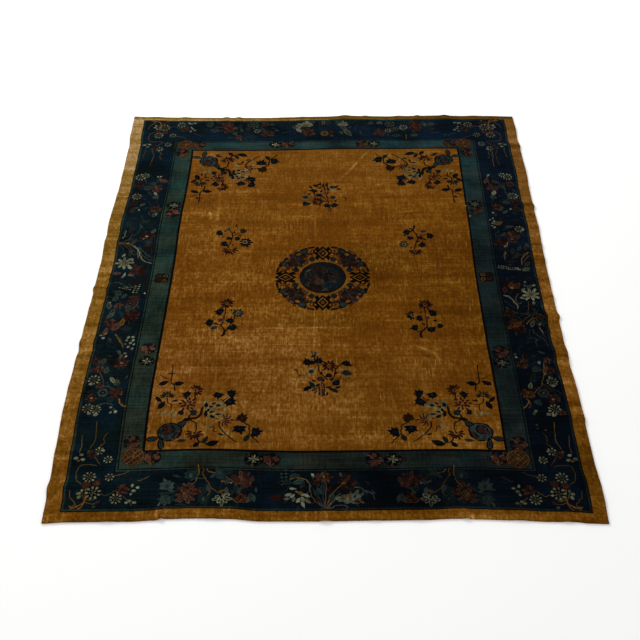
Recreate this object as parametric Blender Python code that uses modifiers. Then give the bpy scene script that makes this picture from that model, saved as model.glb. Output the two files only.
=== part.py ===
# A hand-knotted wool rug of room size, lying flat: one piece of pile on its woven foundation.
# The middle of it lies flat on the floor. The edges are a little uneven in plan, and small
# ripples lift them here and there. X is across the rug, Y along it, and Z up. The origin is
# on the floor under the middle of the rug.

from collections import namedtuple
import math

import bmesh
import bpy
from mathutils import Vector

# Sizes, in metres
HALF_LENGTH = 1.7435      # middle of the rug to the farthest point of an end
HALF_WIDTH = 1.3845       # middle of the rug to the farthest point of a side
THICKNESS = 0.010         # pile and foundation together
FULL_SHIFT = 0.90         # this far from the middle, the knotted rows follow their edge
MESH_STEP = 0.045         # spacing of the points along an edge
MESH_ROWS = (0.012, 0.045, 0.095, 0.160)   # rows of points, measured in from an edge
NARROW = 0.045            # a ripple of less reach than this gets points of its own
LEAST_STEP = 0.008        # two cuts closer than this are one

MILLIMETRE = 0.001

# The outline: how far in millimetres the edge lies inside the rug's largest size, at a
# place given in metres along it from the middle. Y is the place on a side, X on an end.
EdgePoint = namedtuple("EdgePoint", "place inset")

LEFT_EDGE = [EdgePoint(*row) for row in (
    (-1.74, 25), (-1.62, 23), (-1.54, 14), (-1.49, 18), (-1.30, 10), (-1.06, 1),
    (-0.90, 0), (-0.66, 5), (-0.61, 9), (-0.54, 3), (-0.49, 8), (-0.34, 10),
    (-0.14, 15), (-0.10, 9), (-0.05, 15), (0.15, 18), (0.34, 11), (0.40, 14),
    (0.54, 8), (0.70, 15), (0.90, 23), (1.38, 24), (1.50, 15), (1.74, 13),
)]
RIGHT_EDGE = [EdgePoint(*row) for row in (
    (-1.74, 6), (-1.60, 1), (-1.53, 0), (-1.40, 8), (-1.14, 8), (-1.10, 4),
    (-0.98, 6), (-0.84, 9), (-0.70, 17), (-0.62, 11), (-0.54, 19), (-0.38, 18),
    (-0.33, 10), (-0.28, 19), (0.05, 19), (0.22, 16), (0.50, 8), (0.66, 11),
    (0.70, 5), (0.76, 11), (0.92, 10), (1.02, 4), (1.34, 7), (1.38, 4),
    (1.45, 11), (1.58, 6), (1.74, 9),
)]
FAR_EDGE = [EdgePoint(*row) for row in (
    (-1.38, 13), (-1.28, 20), (-1.05, 27), (-0.80, 30), (-0.42, 31), (-0.22, 23),
    (0.00, 15), (0.17, 3), (0.32, 9), (0.48, 12), (0.66, 6), (0.86, 0),
    (1.02, 7), (1.20, 7), (1.38, 14),
)]
NEAR_EDGE = [EdgePoint(*row) for row in (
    (-1.38, 0), (-1.27, 7), (-1.10, 9), (-0.96, 11), (-0.84, 18), (-0.80, 26),
    (-0.64, 30), (-0.48, 27), (-0.30, 13), (-0.04, 13), (0.24, 18), (0.46, 21),
    (0.66, 29), (0.74, 26), (0.94, 20), (1.10, 12), (1.23, 10), (1.29, 3), (1.38, 0),
)]

# The ripples: place is in metres along the edge, reach is half of the ripple's length,
# depth is how far it runs in from the edge, and height is its crest in millimetres.
Ripple = namedtuple("Ripple", "place reach depth height")

LEFT_RIPPLES = [Ripple(*row) for row in (
    (-1.54, 0.060, 0.09, 4.0), (-1.33, 0.100, 0.14, 3.5), (-1.04, 0.090, 0.12, 4.5),
    (-0.87, 0.060, 0.11, 3.5), (-0.69, 0.060, 0.15, 6.0), (-0.55, 0.050, 0.12, 5.0),
    (-0.42, 0.055, 0.10, 3.5), (-0.27, 0.050, 0.12, 4.5), (-0.10, 0.032, 0.10, 6.0),
    (0.07, 0.070, 0.11, 3.5), (0.33, 0.055, 0.12, 4.5), (0.47, 0.055, 0.10, 3.0),
    (0.66, 0.080, 0.12, 4.0), (0.82, 0.055, 0.14, 5.0), (1.02, 0.080, 0.12, 3.5),
    (1.25, 0.100, 0.12, 3.0), (1.49, 0.060, 0.10, 4.5),
)]
RIGHT_RIPPLES = [Ripple(*row) for row in (
    (-1.60, 0.070, 0.09, 3.5), (-1.43, 0.060, 0.10, 3.0), (-1.10, 0.060, 0.11, 4.5),
    (-0.89, 0.090, 0.13, 3.5), (-0.68, 0.060, 0.15, 6.0), (-0.48, 0.060, 0.11, 4.0),
    (-0.33, 0.036, 0.12, 6.5), (-0.17, 0.036, 0.12, 5.0), (-0.02, 0.055, 0.12, 4.0),
    (0.17, 0.036, 0.10, 4.5), (0.30, 0.032, 0.12, 5.5), (0.49, 0.070, 0.10, 3.0),
    (0.70, 0.038, 0.12, 6.5), (0.92, 0.070, 0.10, 3.0), (1.10, 0.070, 0.10, 3.0),
    (1.37, 0.036, 0.12, 6.0), (1.58, 0.070, 0.10, 3.5),
)]
FAR_RIPPLES = [Ripple(*row) for row in (
    (-1.22, 0.080, 0.10, 3.0), (-1.01, 0.050, 0.09, 4.0), (-0.71, 0.036, 0.09, 6.0),
    (-0.62, 0.034, 0.09, 6.5), (-0.15, 0.070, 0.08, 3.0), (0.16, 0.060, 0.10, 5.0),
    (0.31, 0.040, 0.08, 4.5), (0.55, 0.060, 0.09, 4.0), (0.69, 0.034, 0.10, 6.5),
    (0.89, 0.050, 0.10, 6.5), (1.10, 0.070, 0.08, 3.0),
)]
NEAR_RIPPLES = [Ripple(*row) for row in (
    (-1.07, 0.060, 0.08, 3.5), (-0.81, 0.022, 0.11, 10.0), (-0.56, 0.080, 0.09, 3.0),
    (0.01, 0.044, 0.11, 8.0), (0.25, 0.050, 0.08, 3.5), (0.47, 0.060, 0.08, 3.0),
    (0.70, 0.026, 0.10, 8.0), (0.96, 0.060, 0.08, 3.5), (1.19, 0.040, 0.08, 4.5),
)]


def ease(share):
    """Goes smoothly from 0 to 1 as share does, and stays there."""
    share = min(max(share, 0.0), 1.0)
    return share * share * (3.0 - 2.0 * share)


def inset_at(edge, place):
    """How far the edge lies inside the rug's largest size at a place along it, in metres."""
    before = edge[0]
    for point in edge[1:]:
        if place <= point.place:
            share = ease((place - before.place) / (point.place - before.place))
            return (before.inset + (point.inset - before.inset) * share) * MILLIMETRE
        before = point
    return before.inset * MILLIMETRE


def settled(x, y):
    """Where a point of the straight rug lies in plan, once its edges have moved in."""
    side = LEFT_EDGE if x < 0 else RIGHT_EDGE
    end = NEAR_EDGE if y < 0 else FAR_EDGE
    moved_x = x - math.copysign(inset_at(side, y) * ease(abs(x) / FULL_SHIFT), x)
    moved_y = y - math.copysign(inset_at(end, x) * ease(abs(y) / FULL_SHIFT), y)
    return moved_x, moved_y


def lift(ripples, place, distance_in):
    """How high an edge's ripples raise the underside at a place along that edge."""
    height = 0.0
    for ripple in ripples:
        off_crest = abs(place - ripple.place) / ripple.reach
        if off_crest < 1.0:
            crest = 0.5 + 0.5 * math.cos(math.pi * off_crest)
            height += ripple.height * MILLIMETRE * crest * ease(1.0 - distance_in / ripple.depth)
    return height


def underside_height(x, y):
    """Height of the underside over the floor at a point of the straight rug."""
    from_side = HALF_WIDTH - abs(x)
    from_end = HALF_LENGTH - abs(y)
    side = LEFT_RIPPLES if x < 0 else RIGHT_RIPPLES
    end = NEAR_RIPPLES if y < 0 else FAR_RIPPLES
    return max(lift(side, y, from_side), lift(end, x, from_end))


def cut_places(half_size, ripples):
    """Places along an edge where its strip is cut: even steps, and more on narrow ripples."""
    steps = round(2.0 * half_size / MESH_STEP)
    wanted = [ripple.place + share * ripple.reach
              for ripple in ripples if ripple.reach < NARROW
              for share in (-1.0, -0.5, 0.0, 0.5, 1.0)]
    for step in range(1, steps):
        wanted.append(-half_size + 2.0 * half_size * step / steps)
    kept = []
    for place in wanted:
        if all(abs(place - other) > LEAST_STEP for other in kept):
            kept.append(place)
    return sorted(kept)


def cut_strip(sheet, axis, side, half_size, places):
    """Cuts across the strip along one edge. The strip is on the given side of the axis."""
    inner = half_size - MESH_ROWS[-1]
    along = Vector((0.0, 1.0, 0.0)) if axis == 0 else Vector((1.0, 0.0, 0.0))
    for place in places:
        faces = [face for face in sheet.faces if face.calc_center_median()[axis] * side > inner]
        edges = {edge for face in faces for edge in face.edges}
        verts = {vert for face in faces for vert in face.verts}
        bmesh.ops.bisect_plane(sheet, geom=faces + list(edges) + list(verts),
                               plane_co=along * place, plane_no=along)


def straight_sheet():
    """The underside before it settles: a rectangle with fine strips along its four edges."""
    sheet = bmesh.new()
    bmesh.ops.create_grid(sheet, x_segments=1, y_segments=1, size=1.0)
    bmesh.ops.scale(sheet, vec=(HALF_WIDTH, HALF_LENGTH, 1.0), verts=sheet.verts)
    for axis, half_size in ((0, HALF_WIDTH), (1, HALF_LENGTH)):
        normal = Vector((1.0, 0.0, 0.0)) if axis == 0 else Vector((0.0, 1.0, 0.0))
        for row in MESH_ROWS:
            for side in (-1.0, 1.0):
                whole = sheet.faces[:] + sheet.edges[:] + sheet.verts[:]
                bmesh.ops.bisect_plane(sheet, geom=whole, plane_no=normal,
                                       plane_co=normal * side * (half_size - row))
    side_run = HALF_LENGTH - MESH_ROWS[-1]
    end_run = HALF_WIDTH - MESH_ROWS[-1]
    cut_strip(sheet, 0, -1.0, HALF_WIDTH, cut_places(side_run, LEFT_RIPPLES))
    cut_strip(sheet, 0, 1.0, HALF_WIDTH, cut_places(side_run, RIGHT_RIPPLES))
    cut_strip(sheet, 1, -1.0, HALF_LENGTH, cut_places(end_run, NEAR_RIPPLES))
    cut_strip(sheet, 1, 1.0, HALF_LENGTH, cut_places(end_run, FAR_RIPPLES))
    return sheet


def wool_material():
    """Wool pile of a mixed gold and navy, seen from afar."""
    material = bpy.data.materials.new("wool_pile")
    material.use_nodes = True
    shader = material.node_tree.nodes["Principled BSDF"]
    shader.inputs["Base Color"].default_value = (0.21, 0.11, 0.03, 1.0)
    shader.inputs["Roughness"].default_value = 0.9
    shader.inputs["Metallic"].default_value = 0.0
    return material


def rug(collection):
    """The whole rug as one body, settled on the floor."""
    sheet = straight_sheet()
    for vert in sheet.verts:
        x, y = vert.co.x, vert.co.y
        vert.co.x, vert.co.y = settled(x, y)
        vert.co.z = underside_height(x, y)
    mesh = bpy.data.meshes.new("rug_pile")
    sheet.to_mesh(mesh)
    sheet.free()
    mesh.materials.append(wool_material())
    body = bpy.data.objects.new("rug_pile", mesh)
    collection.objects.link(body)
    pile = body.modifiers.new("pile and foundation", 'SOLIDIFY')
    pile.thickness = THICKNESS
    pile.offset = 1.0
    return body


def build():
    for old in list(bpy.data.objects):
        bpy.data.objects.remove(old, do_unlink=True)
    collection = bpy.data.collections.new("chinese_art_deco_rug")
    bpy.context.scene.collection.children.link(collection)
    rug(collection)


build()
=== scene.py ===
# A hand-knotted wool rug of room size, seen from the near end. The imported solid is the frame:
# here one closed sheet of pile with the whole knotted pattern takes its place. X is across,
# Y along and Z up, in metres. The pattern is drawn in millimetres from its own middle.
import bisect
import math
from collections import namedtuple

import bpy
from mathutils import Matrix, Vector, noise
from mathutils.bvhtree import BVHTree
from mathutils.geometry import delaunay_2d_cdt


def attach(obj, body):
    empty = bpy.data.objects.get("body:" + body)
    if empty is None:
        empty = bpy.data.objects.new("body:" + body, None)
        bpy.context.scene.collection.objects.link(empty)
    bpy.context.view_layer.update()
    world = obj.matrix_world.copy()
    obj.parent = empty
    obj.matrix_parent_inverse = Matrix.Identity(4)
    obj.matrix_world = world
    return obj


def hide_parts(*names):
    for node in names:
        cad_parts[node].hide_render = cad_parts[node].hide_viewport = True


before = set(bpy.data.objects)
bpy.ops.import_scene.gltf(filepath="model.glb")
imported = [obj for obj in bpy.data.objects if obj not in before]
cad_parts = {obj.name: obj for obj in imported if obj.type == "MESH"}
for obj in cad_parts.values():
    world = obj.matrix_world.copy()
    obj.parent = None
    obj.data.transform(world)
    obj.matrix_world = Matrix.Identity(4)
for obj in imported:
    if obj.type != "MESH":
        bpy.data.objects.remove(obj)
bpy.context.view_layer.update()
bpy.ops.object.select_all(action='DESELECT')
print("frame loaded")

# In metres, the same as the solid's
rugSizes = {
    "halfWidth": 1.3845,
    "halfLength": 1.7435,
    "thickness": 0.010,
    "fullShift": 0.90,       # this far from the middle, the knotted rows follow their edge
    "patternMiddle": (9.5, 5.0),   # the pattern's middle in millimetres from the rug's
    "rimStep": 0.008,        # points along the outline
    # Rows of points down the rim, between pile and underside: how far in, how high
    "rimRows": ((0.0012, 0.0089), (0.0, 0.0052), (0.0008, 0.0012)),
    "rimJitter": 0.0006,     # uneven knots at the very edge
    "rimSpread": 0.011,      # the rim lies flat around the pile in the texture
    "topInset": 0.0045,      # where the pile begins to turn down
    "topSteps": (0.018, 0.056),    # points on the rippled strip along the edges, and on the flat middle
    "backInset": 0.002,
    "backSteps": (0.024, 0.12),
    "stripDepth": 0.165,
    "gridMargin": 0.014,
    "pileUnevenness": 0.0005,
    "backDetail": 3500,      # the underside shows only shapes over this many square millimetres
    "lineWobble": (1.2, 2.6),      # of the bands and of the flowers, in millimetres
    "bakeMargin": 0.03,
}
halfWidth = rugSizes["halfWidth"]
halfLength = rugSizes["halfLength"]
thickness = rugSizes["thickness"]

# How far in millimetres the edge lies inside the largest size, at a place along it in metres
EdgePoint = namedtuple("EdgePoint", "place inset")
leftEdge = [EdgePoint(*row) for row in (
    (-1.74, 25), (-1.62, 23), (-1.54, 14), (-1.49, 18), (-1.30, 10), (-1.06, 1),
    (-0.90, 0), (-0.66, 5), (-0.61, 9), (-0.54, 3), (-0.49, 8), (-0.34, 10),
    (-0.14, 15), (-0.10, 9), (-0.05, 15), (0.15, 18), (0.34, 11), (0.40, 14),
    (0.54, 8), (0.70, 15), (0.90, 23), (1.38, 24), (1.50, 15), (1.74, 13),
)]
rightEdge = [EdgePoint(*row) for row in (
    (-1.74, 6), (-1.60, 1), (-1.53, 0), (-1.40, 8), (-1.14, 8), (-1.10, 4),
    (-0.98, 6), (-0.84, 9), (-0.70, 17), (-0.62, 11), (-0.54, 19), (-0.38, 18),
    (-0.33, 10), (-0.28, 19), (0.05, 19), (0.22, 16), (0.50, 8), (0.66, 11),
    (0.70, 5), (0.76, 11), (0.92, 10), (1.02, 4), (1.34, 7), (1.38, 4),
    (1.45, 11), (1.58, 6), (1.74, 9),
)]
farEdge = [EdgePoint(*row) for row in (
    (-1.38, 13), (-1.28, 20), (-1.05, 27), (-0.80, 30), (-0.42, 31), (-0.22, 23),
    (0.00, 15), (0.17, 3), (0.32, 9), (0.48, 12), (0.66, 6), (0.86, 0),
    (1.02, 7), (1.20, 7), (1.38, 14),
)]
nearEdge = [EdgePoint(*row) for row in (
    (-1.38, 0), (-1.27, 7), (-1.10, 9), (-0.96, 11), (-0.84, 18), (-0.80, 26),
    (-0.64, 30), (-0.48, 27), (-0.30, 13), (-0.04, 13), (0.24, 18), (0.46, 21),
    (0.66, 29), (0.74, 26), (0.94, 20), (1.10, 12), (1.23, 10), (1.29, 3), (1.38, 0),
)]

# Ripples along the edges: place, half length and depth in metres, crest in millimetres
Ripple = namedtuple("Ripple", "place reach depth height")
leftRipples = [Ripple(*row) for row in (
    (-1.54, 0.060, 0.09, 4.0), (-1.33, 0.100, 0.14, 3.5), (-1.04, 0.090, 0.12, 4.5),
    (-0.87, 0.060, 0.11, 3.5), (-0.69, 0.060, 0.15, 6.0), (-0.55, 0.050, 0.12, 5.0),
    (-0.42, 0.055, 0.10, 3.5), (-0.27, 0.050, 0.12, 4.5), (-0.10, 0.032, 0.10, 6.0),
    (0.07, 0.070, 0.11, 3.5), (0.33, 0.055, 0.12, 4.5), (0.47, 0.055, 0.10, 3.0),
    (0.66, 0.080, 0.12, 4.0), (0.82, 0.055, 0.14, 5.0), (1.02, 0.080, 0.12, 3.5),
    (1.25, 0.100, 0.12, 3.0), (1.49, 0.060, 0.10, 4.5),
)]
rightRipples = [Ripple(*row) for row in (
    (-1.60, 0.070, 0.09, 3.5), (-1.43, 0.060, 0.10, 3.0), (-1.10, 0.060, 0.11, 4.5),
    (-0.89, 0.090, 0.13, 3.5), (-0.68, 0.060, 0.15, 6.0), (-0.48, 0.060, 0.11, 4.0),
    (-0.33, 0.036, 0.12, 6.5), (-0.17, 0.036, 0.12, 5.0), (-0.02, 0.055, 0.12, 4.0),
    (0.17, 0.036, 0.10, 4.5), (0.30, 0.032, 0.12, 5.5), (0.49, 0.070, 0.10, 3.0),
    (0.70, 0.038, 0.12, 6.5), (0.92, 0.070, 0.10, 3.0), (1.10, 0.070, 0.10, 3.0),
    (1.37, 0.036, 0.12, 6.0), (1.58, 0.070, 0.10, 3.5),
)]
farRipples = [Ripple(*row) for row in (
    (-1.22, 0.080, 0.10, 3.0), (-1.01, 0.050, 0.09, 4.0), (-0.71, 0.036, 0.09, 6.0),
    (-0.62, 0.034, 0.09, 6.5), (-0.15, 0.070, 0.08, 3.0), (0.16, 0.060, 0.10, 5.0),
    (0.31, 0.040, 0.08, 4.5), (0.55, 0.060, 0.09, 4.0), (0.69, 0.034, 0.10, 6.5),
    (0.89, 0.050, 0.10, 6.5), (1.10, 0.070, 0.08, 3.0),
)]
nearRipples = [Ripple(*row) for row in (
    (-1.07, 0.060, 0.08, 3.5), (-0.81, 0.022, 0.11, 10.0), (-0.56, 0.080, 0.09, 3.0),
    (0.01, 0.044, 0.11, 8.0), (0.25, 0.050, 0.08, 3.5), (0.47, 0.060, 0.08, 3.0),
    (0.70, 0.026, 0.10, 8.0), (0.96, 0.060, 0.08, 3.5), (1.19, 0.040, 0.08, 4.5),
)]


def ease(share):  # smoothly from 0 to 1
    share = min(max(share, 0.0), 1.0)
    return share * share * (3.0 - 2.0 * share)


def insetAt(edge, place):  # metres
    after = bisect.bisect_left([point.place for point in edge], place)
    if after == 0:
        return edge[0].inset / 1000
    if after == len(edge):
        return edge[-1].inset / 1000
    low, high = edge[after - 1], edge[after]
    share = ease((place - low.place) / (high.place - low.place))
    return (low.inset + (high.inset - low.inset) * share) / 1000


def edgeShift(x, y):  # how far a point of the straight rug moves in as it settles
    side = leftEdge if x < 0 else rightEdge
    end = nearEdge if y < 0 else farEdge
    full = rugSizes["fullShift"]
    return (-math.copysign(insetAt(side, y) * ease(abs(x) / full), x),
            -math.copysign(insetAt(end, x) * ease(abs(y) / full), y))


def settled(x, y):
    moveX, moveY = edgeShift(x, y)
    return x + moveX, y + moveY


def straightened(x, y):  # the other way round, near enough after three steps
    u, v = x, y
    for step in range(3):
        moveX, moveY = edgeShift(u, v)
        u, v = x - moveX, y - moveY
    return u, v


def lift(ripples, place, distanceIn):
    height = 0.0
    for ripple in ripples:
        offCrest = abs(place - ripple.place) / ripple.reach
        if offCrest < 1.0:
            crest = 0.5 + 0.5 * math.cos(math.pi * offCrest)
            height += ripple.height / 1000 * crest * ease(1.0 - distanceIn / ripple.depth)
    return height


def undersideHeight(x, y):  # of a point of the straight rug
    side = leftRipples if x < 0 else rightRipples
    end = nearRipples if y < 0 else farRipples
    return max(lift(side, y, halfWidth - abs(x)), lift(end, x, halfLength - abs(y)))


# The yarns: sRGB, as the worn wool looks in soft daylight
yarns = {
    "gold": "#603707",      # field
    # The outer band's yarn is a little lighter than the field's, partly its own colour and partly painted
    # sheen of its nap
    "edgeGold": "#68410e",  # outer band
    "navy": "#040f19",      # main border
    "slate": "#1c2726",     # inner border
    "ink": "#030405",       # outlines between the bands
    "guard": "#1a2323",     # light line beside an outline
    "cream": "#5b5c47",
    "oat": "#3e4034",
    "ivory": "#75765c",
    "stone": "#34372d",
    "mist": "#222c28",      # pale blue green
    "teal": "#131f1e",
    "leafBlue": "#030507",  # leaves on the gold
    "heartBlue": "#07131a",
    "leafGreen": "#0e120c",
    "rose": "#2e1a15",
    "russet": "#37251a",
    "blush": "#442a1e",
    "wine": "#1e0a04",
    "rust": "#2c150e",
    "orange": "#40230f",
    "plum": "#221715",
    "bark": "#0e0803",      # stems on the gold
    "gilt": "#4c3815",      # branches on the navy
    "brass": "#4a340f",
    "amber": "#5a3a18",     # the trunks of the corners
    "paleGold": "#604520",
    "umber": "#110904",
    # Darker ones for the medallion
    "dusk": "#0b0a09",
    "deepTeal": "#0c1618",
    "deepPlum": "#211412",
    "deepWine": "#240d0a",
    "tan": "#2c2013",
    "moss": "#171b15",
    "sage": "#564f33",      # pale leaves on the gold
    "husk": "#1d1f19",
    "skin": "#1b2524",
    "bar": "#4b2f17",
    "seam": "#160a03",
}

blueYarns = ("navy", "slate", "ink", "guard")
plainYarns = ("gold", "edgeGold") + blueYarns

# Drawing the pattern

pattern = []                 # (yarn, outline) in order, a later one over an earlier one
facing = {"x": 1, "y": 1, "moveX": 0, "moveY": 0}   # how a repeated group is mirrored and moved
goldenShare = 0.618034       # its multiples spread evenly, so what is laid out by them never repeats


def face(x, y, moveX=0, moveY=0):
    facing.update(x=x, y=y, moveX=moveX, moveY=moveY)


def signedArea(points):
    return sum(a[0] * b[1] - b[0] * a[1] for a, b in zip(points, points[1:] + points[:1])) / 2


def knot(yarn, outline):
    points = [(x * facing["x"] + facing["moveX"], y * facing["y"] + facing["moveY"])
              for x, y in outline]
    pattern.append((yarn, points if signedArea(points) > 0 else points[::-1]))


def laid(points, x, y, turn):  # turned by degrees, then put at x, y
    c, s = math.cos(math.radians(turn)), math.sin(math.radians(turn))
    return [(x + u * c - v * s, y + u * s + v * c) for u, v in points]


def roundel(x, y, reach, lobes=0, depth=0.25, turn=0, squash=1.0, count=0):
    points = []
    count = count or (lobes * 5 if lobes else 12)
    for step in range(count):
        angle = 2 * math.pi * step / count
        r = reach
        if lobes:
            r *= 1 - depth * (1 - abs(math.cos(lobes * angle / 2)) ** 0.8)
        points.append((r * math.cos(angle), r * squash * math.sin(angle)))
    return laid(points, x, y, turn)


def petal(x, y, turn, start, end, width, blunt=0.75):  # blunt is where it is widest
    span = end - start
    w = width / 2
    widest, nearTip = start + (blunt - 0.14) * span, start + 0.9 * span
    points = [(start, -0.3 * w), (widest, -w), (nearTip, -0.68 * w), (end, 0), (nearTip, 0.68 * w),
              (widest, w), (start, 0.3 * w)]
    return laid(points, x, y, turn)


def leafShape(x, y, length, turn, width):
    w = width / 2
    points = []
    for u, v in ((-0.5, 0), (-0.28, -0.8 * w), (0, -w), (0.22, -0.75 * w), (0.5, 0),
                 (0.22, 0.65 * w), (0, w), (-0.28, 0.8 * w)):
        points.append((u * length, (v + 0.12 * (u + 0.2) ** 2) * length))
    return laid(points, x, y, turn)


def ring(yarn, x, y, turn, count, start, end, width, blunt):  # petals about a middle
    for step in range(count):
        knot(yarn, petal(x, y, turn + 360 * step / count, start, end, width, blunt))


stemLook = {
    "wander": 6, "wanderPitch": 19,       # millimetres
    "root": 0.56, "thinning": 0.20,       # half widths, as shares of the width
}


def stem(yarn, width, points):  # a slightly crooked line that thins to its end
    smooth = []
    ends = [points[0]] + list(points) + [points[-1]]
    for a, b, c, d in zip(ends, ends[1:], ends[2:], ends[3:]):
        for step in range(4):
            t = step / 4
            smooth.append(tuple(
                0.5 * (2 * b[k] + (c[k] - a[k]) * t + (2 * a[k] - 5 * b[k] + 4 * c[k] - d[k]) * t * t
                       + (3 * b[k] - a[k] - 3 * c[k] + d[k]) * t ** 3) for k in (0, 1)))
    smooth.append(tuple(points[-1]))
    wander, pitch = stemLook["wander"], stemLook["wanderPitch"]
    smooth = [(x + wander * noise.noise(Vector((x / pitch, y / pitch, 4.0))),
               y + wander * noise.noise(Vector((x / pitch, y / pitch, 8.0)))) for x, y in smooth]
    left, right = [], []
    for step, here in enumerate(smooth):
        before = smooth[max(step - 1, 0)]
        after = smooth[min(step + 1, len(smooth) - 1)]
        along = Vector((after[0] - before[0], after[1] - before[1])).normalized()
        half = width * (stemLook["root"] - stemLook["thinning"] * step / len(smooth))
        left.append((here[0] - along.y * half, here[1] + along.x * half))
        right.append((here[0] + along.y * half, here[1] - along.x * half))
    knot(yarn, left + right[::-1])


# Second yarn of a flower: its petal edges or its heart
edgeYarn = {
    "rose": "blush", "russet": "blush", "wine": "rose", "rust": "orange", "teal": "mist", "mist": "teal",
    "plum": "rose", "blush": "rose", "sage": "moss", "gilt": "brass", "leafBlue": "heartBlue",
    "leafGreen": "teal", "umber": "rose", "orange": "gilt", "deepPlum": "deepWine", "deepWine": "tan",
    "tan": "umber", "deepTeal": "heartBlue", "gold": "gilt", "seam": "wine",
}


def drawBlossom(x, y, size, turn, yarn):  # two rings of small rounded petals about a gilt heart
    count = 7 if size < 30 else 9
    knot("ink", roundel(x, y, size * 0.92))
    ring(yarn, x, y, turn, count, size * 0.54, size * 0.97, size * 3.0 / count, 0.62)
    ring("oat", x, y, turn + 22, 5, size * 0.20, size * 0.47, size * 0.24, 0.6)
    knot("gilt", roundel(x, y, size * 0.12, count=6))


def drawPeony(x, y, size, turn, yarn):  # rings of loose petals, some paler, each with a dark heart
    knot("umber", roundel(x, y, size * 0.84, 9, 0.10, turn))
    rings = ((10, 0.54, 1.12), (7, 0.24, 0.72), (4, 0.02, 0.38))
    for number, (count, start, end) in enumerate(rings[:3 if size > 34 else 2]):
        for step in range(count):
            way = turn + 17 * number + 360 * step / count + 10 * math.sin(step * 4.1 + x)
            far = size * end * (1 + 0.10 * math.sin(step * 2.7 + y))
            shade = edgeYarn[yarn] if (step + number) % 3 == 0 else yarn
            knot(shade, petal(x, y, way, size * start, far, size * 0.40, 0.55))
            if size > 27 and number < 2:
                knot("umber", petal(x, y, way, size * start, far - size * 0.17, size * 0.13, 0.5))


def drawOpened(x, y, size, turn, yarn):  # petals knotted as pale loops
    for way, far in ((-162, 1.0), (-122, 0.78), (-88, 1.06), (-48, 0.84), (-12, 1.0), (30, 0.88), (74, 1.1),
                     (168, 0.7)):
        knot(yarn, petal(x, y, turn + way, size * 0.14, size * far, size * 0.40, 0.62))
        knot("slate", petal(x, y, turn + way, size * 0.26, size * (far - 0.11), size * 0.24, 0.62))


def drawDaisy(x, y, size, turn, yarn, spread=360, count=11):  # narrow petals with the ground between
    wide = size * spread / 360 / count
    for step in range(count):
        way = turn + spread * ((step + 0.5) / count - 0.5) + 5 * math.sin(step * 5.3 + x)
        far = size * (1.06 if step % 2 else 0.90)
        knot(yarn, petal(x, y, way, size * 0.24, far, wide * 4.0, 0.64))
    knot(yarn, roundel(x, y, size * 0.17, count=6))


def drawHalfDaisy(x, y, size, turn, yarn):
    drawDaisy(x, y, size, turn, yarn, 230, 9)


def drawLeaf(x, y, size, turn, yarn):  # some broader, some with a darker vein
    knot(yarn, leafShape(x, y, size * 1.2, turn, 0.38 + 0.22 * ((x * 0.37 + y * 0.61) % 1)))
    if size > 42:
        knot("dusk", leafShape(x, y, size * 0.8, turn, 0.11))


def drawBroadLeaf(x, y, size, turn, yarn):  # a full leaf with a dark edge and a vein
    knot("umber", leafShape(x, y, size * 1.18, turn, 0.86))
    knot(yarn, leafShape(x, y, size, turn, 0.74))
    knot(edgeYarn[yarn], leafShape(x, y, size * 0.7, turn, 0.2))


def drawPaleLeaf(x, y, size, turn, yarn):  # a dark leaf laid on a pale one
    knot("sage", leafShape(x, y, size * 1.6, turn + 12, 0.60))
    drawLeaf(x, y, size, turn, yarn)


def drawMaple(x, y, size, turn, yarn):  # a hand of pointed lobes about a lighter heart
    points = [(-0.62 * size, 0.0)]
    for way, reach in ((-112, 1.12), (-66, 1.34), (-26, 1.22), (14, 1.50), (58, 1.20), (104, 1.30)):
        for offset, far in ((-23, 0.90 * size), (0, size * reach * (1 + 0.12 * math.sin(way + x)))):
            angle = math.radians(way + offset)
            points.append((far * math.cos(angle), far * math.sin(angle)))
    points.append((0.80 * size * math.cos(2.35), 0.80 * size * math.sin(2.35)))
    knot(yarn, laid(points, x, y, turn))
    knot(edgeYarn[yarn], leafShape(x, y, size * 0.95, turn, 0.55))


def drawFan(x, y, size, turn, yarn):  # a broad leaf of long lobes, with a dark line down each
    for way, far in ((-70, 0.76), (68, 0.72), (-36, 0.94), (33, 0.90), (0, 1.08)):
        knot(yarn, petal(x, y, turn + way, 0, size * far, size * 0.48, 0.56))
    for way, far in ((-68, 0.60), (-36, 0.76), (0, 0.88), (33, 0.70), (66, 0.56)):
        knot("dusk", petal(x, y, turn + way, size * 0.16, size * far, size * 0.07, 0.6))


def drawLily(x, y, size, turn, yarn):  # pointed petals, dark between them
    for way, far in ((-158, 0.80), (-112, 0.92), (-66, 0.86), (-24, 1.06), (18, 0.94), (62, 0.98),
                     (108, 0.88), (150, 0.96)):
        knot("ink", petal(x, y, turn + way, size * 0.08, size * (far + 0.06), size * 0.42, 0.5))
        knot(yarn, petal(x, y, turn + way, size * 0.16, size * far, size * 0.30, 0.5))
        knot("stone", petal(x, y, turn + way, size * 0.20, size * far * 0.66, size * 0.09, 0.5))
    knot("gilt", roundel(x, y, size * 0.14, count=7))


def drawRound(x, y, size, turn, yarn):  # a round bloom: a ring, a second ring and a heart
    knot(yarn, roundel(x, y, size, 6, 0.16, turn))
    knot(edgeYarn[yarn], roundel(x, y, size * 0.66, count=10))
    knot("umber", roundel(x, y, size * 0.46, count=9))
    knot("blush", roundel(x, y, size * 0.24, count=6))


def drawDot(x, y, size, turn, yarn):
    knot(yarn, roundel(x, y, size, squash=0.75, turn=turn, count=8))


def drawSpray(x, y, size, turn, yarn):  # small round buds in two rows
    for step in range(9):
        u = (step // 2 - 2) * size * 0.46
        v = (step % 2 - 0.5) * size * 0.5
        bud = laid([(u, v)], x, y, turn)[0]
        knot(yarn, roundel(bud[0], bud[1], size * 0.16, squash=0.8, count=7))


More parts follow.
